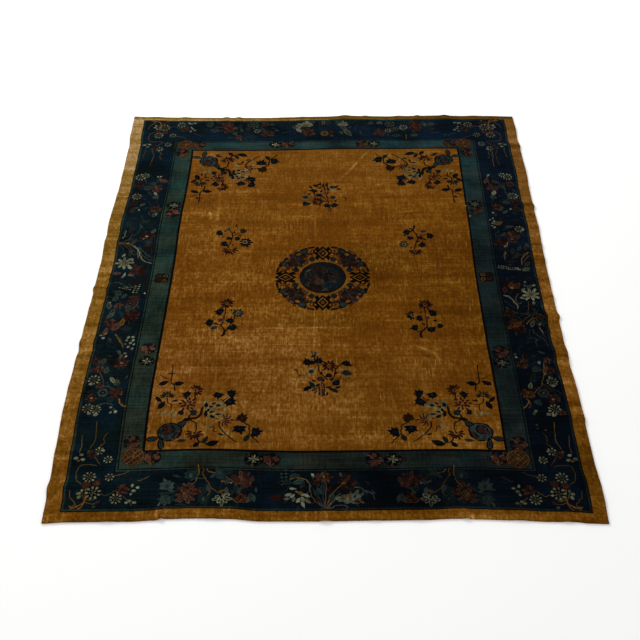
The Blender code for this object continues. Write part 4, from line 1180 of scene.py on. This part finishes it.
wool = {
    "roughness": 0.94,
    "smoother": 0.08,          # by as much where it is worn
    "sheen": 0.01,
    "specular": 0.01,
    "bump": (0.6, 0.0016),     # strength, and height in metres
    "paleWool": "#8c7029",     # worn wool, as its light streaks go
    "paling": 0.34,
    "deepening": 1.7,          # how much yellower the gold wool is where it is darker
    "reddening": 0.13,         # and how much redder
    "tickColour": "#b0893f",   # worn tips, where the light foundation shows
    "tickStrength": 0.55,
    # name: cycles a metre across and along, degrees turned, detail, darkest and lightest, seed, and
    # the share of the noise from darkest to lightest where it isn't usualContrast
    "usualContrast": (0.3, 0.7),
    "streaks": {
        "dyeLots": (0.8, 11.0, 0, 4.0, 0.84, 1.16, 0.0),
        "rows": (3.0, 75.0, 0, 2.0, 0.88, 1.13, 3.1),
        "warps": (125.0, 7.0, 0, 2.0, 0.86, 1.16, 6.2),
        "wear": (2.2, 2.6, 0, 4.0, 0.84, 1.16, 9.3),
        "blotches": (16.0, 12.0, 0, 3.0, 0.90, 1.11, 12.4),
        "mottle": (70.0, 46.0, 0, 3.0, 0.74, 1.30, 15.5),
        "grain": (330.0, 290.0, 0, 2.0, 0.80, 1.20, 18.6),
        "blueWarps": (150.0, 9.0, 0, 1.0, -0.18, 0.18, 41.0),
        "blueRows": (4.0, 95.0, 0, 2.0, -0.32, 0.32, 43.0),
        # painted sheen: lighter patches in the blue bands
        "blueClouds": (4.6, 5.6, 0, 3.0, -0.46, 0.54, 45.0, 0.34, 0.70),
        "blueHues": (5.0, 7.0, 0, 3.0, -1.0, 1.0, 83.0, 0.34, 0.66),
        "edgeNap": (24.0, 100.0, 38, 2.0, -0.20, 0.20, 47.0),
        # painted light and shade across the outer band, where its edge ripples
        "edgeRows": (2.0, 16.0, 0, 3.0, -0.18, 0.18, 53.0),
        "edgeMottle": (60.0, 60.0, 0, 2.0, -0.16, 0.16, 55.0),
        "flowerKnots": (120.0, 100.0, 0, 2.0, -0.38, 0.38, 57.0),
        "brokenMarks": (13.0, 11.0, 0, 3.0, 0.25, 1.0, 71.0, 0.42, 0.58),
        "ticks": (180.0, 12.0, 0, 1.0, 0.0, 1.0, 61.0, 0.60, 0.74),
        "tickPlaces": (3.6, 4.6, 0, 2.0, 0.0, 1.0, 67.0, 0.46, 0.66),
    },
    # name: 0 across or 1 along, from and to in metres, and the values there where they aren't 0 and 1
    "fades": {
        "finerFar": (1, 0.0, 1.3, 1.0, 0.60), "finerRight": (0, -0.1, 0.7, 1.0, 0.82),
        "leftFolds": (0, -1.27, -1.28), "rightFolds": (0, 1.27, 1.28),
        "rightward": (0, -1.0, 0.3), "nearward": (1, 1.5, -0.3),
        "rightFlowers": (0, 0.9, 1.1, 0.0, 0.55), "leftFlowers": (0, -1.0, -1.35, 0.0, 0.24),
        "farFlowers": (1, 1.2, 1.5, 0.0, 0.24), "nearFlowers": (1, -1.36, -1.44),
        "nearRightFlowers": (0, 0.15, 0.45), "nearCorner": (0, 1.12, 0.92, 0.20, 0.54),
        "farBand": (1, 1.685, 1.700), "nearBand": (1, -1.65, -1.67),
        "darkerRight": (0, -1.4, 1.4, 1.10, 0.89), "lighterFar": (1, -1.75, 1.75, 0.95, 1.07),
        "paleLeft": (0, 1.0, -1.4, 0.0, 0.45), "paleFar": (1, -1.6, 1.6),
        "lessYellowNear": (1, -0.3, -0.75, 0.0, 0.50), "lessYellowFar": (1, 0.75, 1.2, 0.0, 0.34),
        "yellowRight": (0, -0.8, 0.9, 0.10, -0.14), "blueLessRed": (1, -1.6, 1.6, 0.12, -0.32),
        "blueRight": (0, -1.2, 1.2, -0.26, 0.08), "blueFar": (1, -1.6, 1.6, -0.08, 0.06),
        "edgeBlueFar": (1, 0.0, 1.4, 0.0, 1.1), "edgeGreenFar": (1, 0.0, 1.4, 0.0, 0.10),
        "greenNear": (1, -0.5, -1.1, 0.0, 0.06), "greenFar": (1, 0.8, 1.2, 0.0, 0.07),
    },
    # How much darker or paler the edges of the rug are, and how much the hues differ.
    # The darkening at the near right and of the far band is painted shade
    "paintedShadeNearRight": 0.52, "nearBandDarker": 0.13, "farBandPaintedShade": 0.60, "farBandPaler": 0.4,
    "wearAndCreasePaling": 0.6, "nearBandBlue": -0.25, "nearBandGreen": -0.05, "middleYellow": 0.78,
    "hueRed": 0.30, "hueBlue": 0.14,
    "patch": {"x": 1.05, "squash": 3.2, "reach": 1.3, "darkest": 0.80},   # dark, at the right
    # Outlines of marks wander by as many metres, at as many cycles a metre
    "drifts": {"broad": (0.12, 4.0), "thin": (0.014, 9.0)},
    "thinReach": 0.03,         # of a thin mark, at most
    "markHeart": 0.2,          # the share of a mark that has its full strength
    "innerSide": 1.2, "innerEnd": -1.6,   # thin marks inside these are broken creases
    # Worn places, and creases shown by painted highlights and painted shade: x, y, reach across and along,
    # degrees turned, lighter or darker by
    "marks": (
        (0.30, 0.15, 0.36, 0.34, 0, -0.34), (0.72, -0.05, 0.32, 0.62, 0, -0.16),
        (0.05, -0.34, 0.36, 0.17, 0, -0.24), (-0.60, 0.62, 0.30, 0.30, 0, -0.10),
        (0.50, 0.66, 0.38, 0.24, 0, -0.13), (-0.88, 0.25, 0.15, 0.42, 0, -0.10),
        (-0.74, -0.85, 0.28, 0.26, 0, 0.15), (-0.28, -0.55, 0.42, 0.14, 0, 0.10),
        (0.36, -0.57, 0.50, 0.10, 0, 0.07), (-0.22, -0.49, 0.17, 0.07, 0, 0.12),
        (-1.34, 0.0, 0.16, 0.55, 0, -0.13), (1.34, -0.16, 0.16, 0.34, 0, 0.22),
        (1.35, -1.45, 0.12, 0.30, 0, -0.36), (1.35, -0.84, 0.12, 0.18, 0, 0.14),
        (1.35, 0.90, 0.12, 0.28, 0, 0.14), (-1.35, -1.58, 0.12, 0.16, 0, -0.20),
        (-1.35, 1.20, 0.12, 0.22, 0, 0.12),
        (-0.05, -0.43, 0.008, 0.34, 0, 0.30), (-0.05, 0.48, 0.008, 0.24, 0, 0.26),
        (-0.08, -0.425, 0.44, 0.010, 1, 0.36), (-0.05, -0.56, 0.48, 0.010, -1, 0.32),
        (0.215, 1.14, 0.015, 0.27, -31, 0.5), (-0.68, 0.48, 0.015, 0.60, 0, 0.26),
        (-0.45, 1.40, 0.55, 0.08, 0, 0.34), (1.01, 0.28, 0.08, 0.28, 0, 0.40),
        (1.01, 1.2, 0.08, 0.2, 0, 0.25), (-1.0, 1.0, 0.08, 0.38, 0, -0.18),
        (-0.49, -0.50, 0.16, 0.16, 0, -0.12), (0.30, -0.12, 0.16, 0.20, 0, -0.10),
        (-0.15, -0.42, 0.05, 0.03, 20, 0.24), (-0.24, -0.40, 0.03, 0.05, 0, 0.20),
        # Painted highlights on the creases of the near end band, y about -1.70; the one at x -0.30 is
        # darker
        (0.02, -1.70, 0.035, 0.08, 0, 0.34), (-0.62, -1.71, 0.03, 0.07, 0, 0.28),
        (0.70, -1.71, 0.03, 0.07, 0, 0.26), (-0.30, -1.71, 0.03, 0.07, 0, -0.20),
        # Creases in the field: a painted highlight on the ridge, some with painted shade beside it
        (-0.73, 0.60, 0.014, 0.06, 12, 0.36), (0.585, -0.60, 0.10, 0.014, -28, 0.42),
        (0.64, -0.66, 0.05, 0.016, -62, 0.36), (0.575, -0.635, 0.11, 0.014, -28, -0.36),
        (0.56, 0.635, 0.15, 0.009, 7, 0.26), (0.56, 0.612, 0.15, 0.009, 7, -0.24),
        (0.40, 0.93, 0.11, 0.010, 22, 0.22), (-0.59, -0.78, 0.007, 0.08, 0, 0.35),
        (-0.52, -0.80, 0.007, 0.07, 0, 0.30), (-0.45, -0.76, 0.007, 0.06, 0, 0.30),
        (-0.13, -1.12, 0.30, 0.26, 0, 0.24), (0.64, -0.60, 0.04, 0.018, 0, 0.40),
        # Bright painted highlights on the two sharp creases at the near end
        (-0.807, -1.69, 0.013, 0.06, 0, 1.1), (0.725, -1.705, 0.011, 0.035, 0, 0.9),
    ),
    # Painted light and shade of the folds across the two long gold bands: y, lighter or darker by, and the
    # reach of a broad one
    "leftFolds": (
        (-1.36, 0.30), (-1.305, -0.20), (-1.235, -0.15), (-1.05, -0.18), (-0.94, 0.20), (-0.88, -0.20),
        (-0.75, -0.20), (-0.685, 0.34), (-0.645, -0.32), (-0.40, -0.32), (-0.265, 0.20), (-0.175, -0.24),
        (-0.145, 0.18), (-0.09, -0.32), (-0.06, 0.20), (0.02, -0.18), (0.065, 0.20), (0.45, -0.18),
        (0.63, 0.18), (0.765, -0.24), (0.835, 0.24), (0.91, -0.20), (1.01, -0.18), (1.095, 0.20),
        (1.59, -0.18), (0.58, -0.17, 0.30), (0.0, -0.10, 0.16), (-1.45, -0.08, 0.25), (1.22, 0.10, 0.16),
    ),
    "rightFolds": (
        (-1.575, -0.20), (-1.235, 0.20), (-1.11, -0.26), (-1.035, 0.24), (-0.995, -0.18), (-0.845, 0.28),
        (-0.70, 0.32), (-0.645, -0.36), (-0.495, 0.22), (-0.38, -0.24), (-0.255, 0.18), (-0.17, -0.30),
        (-0.12, 0.20), (-0.03, -0.22), (0.06, -0.18), (0.175, -0.22), (0.205, 0.22), (0.305, -0.34),
        (0.34, 0.20), (0.55, 0.20), (0.70, -0.38), (0.74, 0.28), (1.31, 0.26), (1.36, -0.42), (1.41, 0.30),
        (1.57, -0.18), (-1.28, -0.16, 0.24), (-0.80, 0.14, 0.20), (-0.15, 0.10, 0.18), (0.22, -0.14, 0.16),
        (1.45, 0.14, 0.15),
    ),
    "foldReach": 0.021, "foldStrength": 1.25, "foldPoints": 250, "foldSpan": 1.75,
}


operations = {"*": 'MULTIPLY', "+": 'ADD', "-": 'SUBTRACT', "power": 'POWER', "larger": 'MAXIMUM'}


def woolPile():
    # Cut wool pile, hand knotted: every dye lot, row and worn patch shows as a streak or a blotch
    material = bpy.data.materials.new("hand_knotted_wool_pile")
    material.use_nodes = True
    tree = material.node_tree
    shader = tree.nodes["Principled BSDF"]
    place = addNode(tree, 'TexCoord').outputs["Object"]
    axes = addNode(tree, 'SeparateXYZ', {0: place}).outputs
    yarn = addNode(tree, 'Attribute', attribute_name="yarn").outputs["Color"]
    ground = addNode(tree, 'Attribute', attribute_name="ground").outputs["Color"]
    bareGold, onBlue, onEdge = addNode(tree, 'SeparateColor', {0: ground}).outputs[:3]

    def streak(name):
        across, along, turn, detail, low, high, seed, *contrast = wool["streaks"][name]
        start, end = contrast or wool["usualContrast"]
        turned = addNode(tree, 'VectorRotate', {"Vector": place, "Angle": math.radians(turn)},
                         rotation_type='Z_AXIS').outputs[0]
        spread = addNode(tree, 'Mapping', {
            "Vector": turned, "Scale": (across, along, 1.0),
            "Location": (seed, seed * 1.7, seed)}).outputs[0]
        drift = addNode(tree, 'TexNoise', {"Vector": spread, "Scale": 1.0, "Detail": detail})
        return addNode(tree, 'MapRange', {
            0: drift.outputs[0], 1: start, 2: end, 3: low, 4: high}).outputs[0]

    def joined(operation, *values):
        total = values[0]
        for value in values[1:]:
            total = addNode(tree, 'Math', {0: total, 1: value},
                            operation=operations[operation]).outputs[0]
        return total

    def fade(name):
        axis, start, end, *values = wool["fades"][name]
        low, high = values or (0.0, 1.0)
        return addNode(tree, 'MapRange', {
            0: axes[axis], 1: start, 2: end, 3: low, 4: high}).outputs[0]

    def more(*parts):  # 1 and, for each part, the product of its values
        return joined("+", 1.0, *[joined("*", *part) for part in parts])

    def less(*part):
        return joined("-", 1.0, joined("*", *part))

    dyeLots, rows, warps, wear, blotches, mottle, grain = [
        streak(name) for name in ("dyeLots", "rows", "warps", "wear", "blotches", "mottle", "grain")]
    # Its finest marks are plainest near the middle and the near end
    fine = joined("*", mottle, warps, grain)
    plain = joined("*", fade("finerFar"), fade("finerRight"))
    fine = more((joined("-", fine, 1.0), plain))
    gain = joined("*", fine, dyeLots, rows, wear, blotches)
    onGold = joined("+", bareGold, onEdge)
    pale = addNode(tree, 'MapRange', {
        0: gain, 1: 1.0, 2: 2.0, 3: 0.0, 4: wool["paling"]}).outputs[0]
    pale = joined("*", pale, onGold)
    # The blue bands show painted sheen patches, rows and warps, the outer band its nap and painted light
    # and shade across the folds of its edge, the flowers their single knots
    blues = joined("+", streak("blueWarps"), streak("blueRows"), streak("blueClouds"))
    edges = joined("+", streak("edgeNap"), streak("edgeRows"), streak("edgeMottle"))
    onFlower = joined("-", 1.0, onGold, onBlue)
    gain = joined("*", gain, more((blues, onBlue), (edges, onEdge), (streak("flowerKnots"), onFlower)))
    # Worn places, and painted highlights and shade of creases, their outlines wandering a little
    changed = lighter = 0.0
    broken = streak("brokenMarks")
    drifted = {}
    for name, (far, scale) in wool["drifts"].items():
        drift = addNode(tree, 'TexNoise', {"Vector": place, "Scale": scale}).outputs["Color"]
        drifted[name] = addNode(tree, 'VectorMath', {0: drift, 1: (far, far, 0.0), 2: place},
                                operation='MULTIPLY_ADD').outputs[0]
    for x, y, reachX, reachY, turn, change in wool["marks"]:
        kind = "broad" if min(reachX, reachY) > wool["thinReach"] else "thin"
        far = wool["drifts"][kind][0]
        spot = addNode(tree, 'Mapping', {
            "Vector": drifted[kind], "Location": (x + far / 2, y + far / 2, 0.0),
            "Rotation": (0.0, 0.0, math.radians(turn)), "Scale": (reachX, reachY, 1.0)},
            vector_type='TEXTURE').outputs[0]
        away = addNode(tree, 'VectorMath', {0: spot}, operation='LENGTH').outputs["Value"]
        mark = addNode(tree, 'MapRange', {
            0: away, 1: wool["markHeart"], 2: 1.0, 3: change, 4: 0.0},
                       interpolation_type='SMOOTHSTEP').outputs[0]
        if kind == "thin" and abs(x) < wool["innerSide"] and y > wool["innerEnd"]:
            mark = joined("*", mark, broken)
            if change > 0:
                lighter = joined("+", lighter, mark)
        changed = joined("+", changed, mark)
    gain = joined("*", gain, joined("+", 1.0, changed))
    along = addNode(tree, 'SeparateXYZ', {0: drifted["thin"]}).outputs[1]
    span, aside = wool["foldSpan"], wool["drifts"]["thin"][0] / 2
    along = addNode(tree, 'MapRange', {0: along, 1: aside - span, 2: aside + span}).outputs[0]
    # Painted light and shade of the folds across the two long gold bands, laid along y by a curve
    for name in ("leftFolds", "rightFolds"):
        side = fade(name)
        folded = addNode(tree, 'FloatCurve', {"Value": along})
        points = folded.mapping.curves[0].points
        points[0].location = (0.0, 0.5)
        points[1].location = (1.0, 0.5)
        for step in range(1, wool["foldPoints"]):
            y = -span + 2 * span / wool["foldPoints"] * step
            height = 0.5
            for row, change, *reach in wool[name]:
                height += change * max(0.0, 1.0 - abs(y - row) / (reach or [wool["foldReach"]])[0])
            points.new(step / wool["foldPoints"], height)
        folded.mapping.update()
        folded = joined("-", folded.outputs[0], 0.5)
        gain = joined("*", gain, more((folded, side, onEdge, wool["foldStrength"])))
    # Painted light falloff: paler to the left and the far end, nearer the key light, and darker to the
    # right.
    # It is also darker in a patch at the right
    spot = wool["patch"]
    across = joined("-", axes[0], spot["x"])
    patch = joined("+", joined("*", across, across, spot["squash"]), joined("*", axes[1], axes[1]))
    patch = addNode(tree, 'MapRange', {
        0: patch, 1: 0.0, 2: spot["reach"], 3: spot["darkest"], 4: 1.0}).outputs[0]
    patch = joined("larger", patch, onEdge)
    # Painted shade: the blue bands, and the flowers at the right, darken towards the near right, away from
    # the key light
    nearRight = joined("*", fade("rightward"), fade("nearward"),
                       joined("+", onBlue, joined("*", onFlower, fade("rightFlowers"))))
    # Painted shade: the far end of the outer band is darker, its pile leaning away and showing its dark
    # side
    farBand = joined("*", onEdge, fade("farBand"))
    nearBand = joined("*", onEdge, fade("nearBand"))
    gain = joined("*", gain, fade("darkerRight"), fade("lighterFar"), patch,
                  less(nearRight, wool["paintedShadeNearRight"]),
                  less(onFlower, joined("+", fade("leftFlowers"), fade("farFlowers"))),
                  less(onFlower, fade("nearRightFlowers"), fade("nearFlowers"), fade("nearCorner")),
                  less(nearBand, wool["nearBandDarker"]), less(farBand, wool["farBandPaintedShade"]))
    # Painted sheen: the outer band is paler to the left and the far end
    edgeSheen = joined("*", onEdge, fade("paleLeft"), fade("paleFar"))
    # Lighter thin marks in the field, worn ticks and painted crease highlights, also pale the gold wool
    wearAndCreaseHighlights = joined("*", lighter, bareGold, wool["wearAndCreasePaling"])
    pale = joined("+", pale, edgeSheen, joined("*", farBand, wool["farBandPaler"]), wearAndCreaseHighlights)
    paled = addNode(tree, 'Mix', {
        0: pale, 6: yarn, 7: linearColour(wool["paleWool"])}, data_type='RGBA').outputs[2]
    # The gold is yellower in the middle and to the right, the blues are bluer at the far end and there,
    # and the outer band is bluer and greener towards the far end, part of its painted sheen
    yellower = joined("+", wool["middleYellow"], fade("lessYellowNear"), fade("lessYellowFar"),
                      fade("yellowRight"))
    yellower = more((joined("-", yellower, 1.0), bareGold), (nearBand, wool["nearBandBlue"]))
    bluer = more((onBlue, joined("+", fade("blueRight"), fade("blueFar"))), (onEdge, fade("edgeBlueFar")))
    greener = more((nearBand, wool["nearBandGreen"]), (onEdge, fade("edgeGreenFar")),
                   (bareGold, joined("+", fade("greenNear"), fade("greenFar"))))
    # The blue dye lots differ in hue too, and the darker gold is a little redder
    hue = joined("*", streak("blueHues"), onBlue)
    redder = joined("+", more((onBlue, fade("blueLessRed"))), joined("*", hue, wool["hueRed"]))
    bluer = joined("-", bluer, joined("*", hue, wool["hueBlue"]))
    leaner = joined("power", gain, joined("+", joined("*", onGold, wool["reddening"]), 1.0))
    deeper = joined("power", gain, joined("+", joined("*", onGold, wool["deepening"]), 1.0))
    tint = addNode(tree, 'CombineXYZ', {
        0: joined("*", gain, redder), 1: joined("*", leaner, greener),
        2: joined("*", deeper, bluer, yellower)}).outputs[0]
    tinted = addNode(tree, 'VectorMath', {0: paled, 1: tint}, operation='MULTIPLY').outputs[0]
    worn = joined("*", streak("ticks"), streak("tickPlaces"), bareGold, plain, wool["tickStrength"])
    colour = addNode(tree, 'Mix', {
        0: worn, 6: tinted, 7: linearColour(wool["tickColour"])}, data_type='RGBA').outputs[2]
    tree.links.new(colour, shader.inputs["Base Color"])
    tree.links.new(addNode(tree, 'MapRange', {
        0: wear, 1: 0.8, 2: 1.2, 3: wool["roughness"], 4: wool["roughness"] - wool["smoother"]}).outputs[0],
        shader.inputs["Roughness"])
    shader.inputs["Sheen Weight"].default_value = wool["sheen"]
    shader.inputs["Sheen Roughness"].default_value = 0.5
    shader.inputs["Specular IOR Level"].default_value = wool["specular"]
    strength, distance = wool["bump"]
    bump = addNode(tree, 'Bump', {
        "Height": joined("+", grain, mottle, warps), "Strength": strength, "Distance": distance})
    tree.links.new(bump.outputs[0], shader.inputs["Normal"])
    return material


rug.data.materials.append(woolPile())
print("wool made")

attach(rug, "root")
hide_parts("rug_pile")

studio = {
    "floorSize": 40.0,
    "floorColour": "#fbfbfa",
    "floorGrain": 60.0, "floorGloss": (0.8, 0.95),
    "skyStrength": 0.80,
    "keyPower": 420.0,
    "keySize": 3.0,
    "keyPlace": (-4.5, 5.5, 5.0),
}
bpy.ops.mesh.primitive_plane_add(size=studio["floorSize"])
floor = bpy.context.object
floor.name = "studio_floor"
paint = bpy.data.materials.new("matt_white_floor_paint")   # rolled on, so its gloss varies a little
paint.use_nodes = True
paintTree = paint.node_tree
paintShader = paintTree.nodes["Principled BSDF"]
paintShader.inputs["Base Color"].default_value = linearColour(studio["floorColour"])
rolled = addNode(paintTree, 'TexNoise', {
    "Vector": addNode(paintTree, 'TexCoord').outputs["Object"],
    "Scale": studio["floorGrain"]}).outputs[0]
gloss = addNode(paintTree, 'MapRange', {
    0: rolled, 3: studio["floorGloss"][0], 4: studio["floorGloss"][1]}).outputs[0]
paintTree.links.new(gloss, paintShader.inputs["Roughness"])
floor.data.materials.append(paint)

world = bpy.data.worlds.new("studio")
bpy.context.scene.world = world
world.use_nodes = True
sky = world.node_tree.nodes["Background"]
sky.inputs["Color"].default_value = (1.0, 1.0, 1.0, 1.0)
sky.inputs["Strength"].default_value = studio["skyStrength"]

bpy.ops.object.light_add(type='AREA', location=studio["keyPlace"])
key = bpy.context.object
key.name = "key_light"
key.data.energy = studio["keyPower"]
key.data.size = studio["keySize"]
key.rotation_euler = (-Vector(studio["keyPlace"])).to_track_quat('-Z', 'Y').to_euler()

view = {
    "place": (-0.0014, -4.458, 4.111),
    "yaw": -0.00395,         # radians
    "pitch": 0.78608,
    "roll": -0.00254,
    "lens": 56.29, "sensor": 36.0,
}
forward = Vector((math.sin(view["yaw"]) * math.cos(view["pitch"]),
                  math.cos(view["yaw"]) * math.cos(view["pitch"]), -math.sin(view["pitch"])))
level = Vector((math.cos(view["yaw"]), -math.sin(view["yaw"]), 0.0))
upright = level.cross(forward)
right = level * math.cos(view["roll"]) + upright * math.sin(view["roll"])
up = upright * math.cos(view["roll"]) - level * math.sin(view["roll"])
bpy.ops.object.camera_add(location=view["place"])
camera = bpy.context.object
camera.rotation_euler = Matrix((right, up, -forward)).transposed().to_euler()
camera.data.sensor_width = view["sensor"]
camera.data.lens = view["lens"]
bpy.context.scene.camera = camera
bpy.context.scene.view_settings.view_transform = 'Standard'
print("studio set")
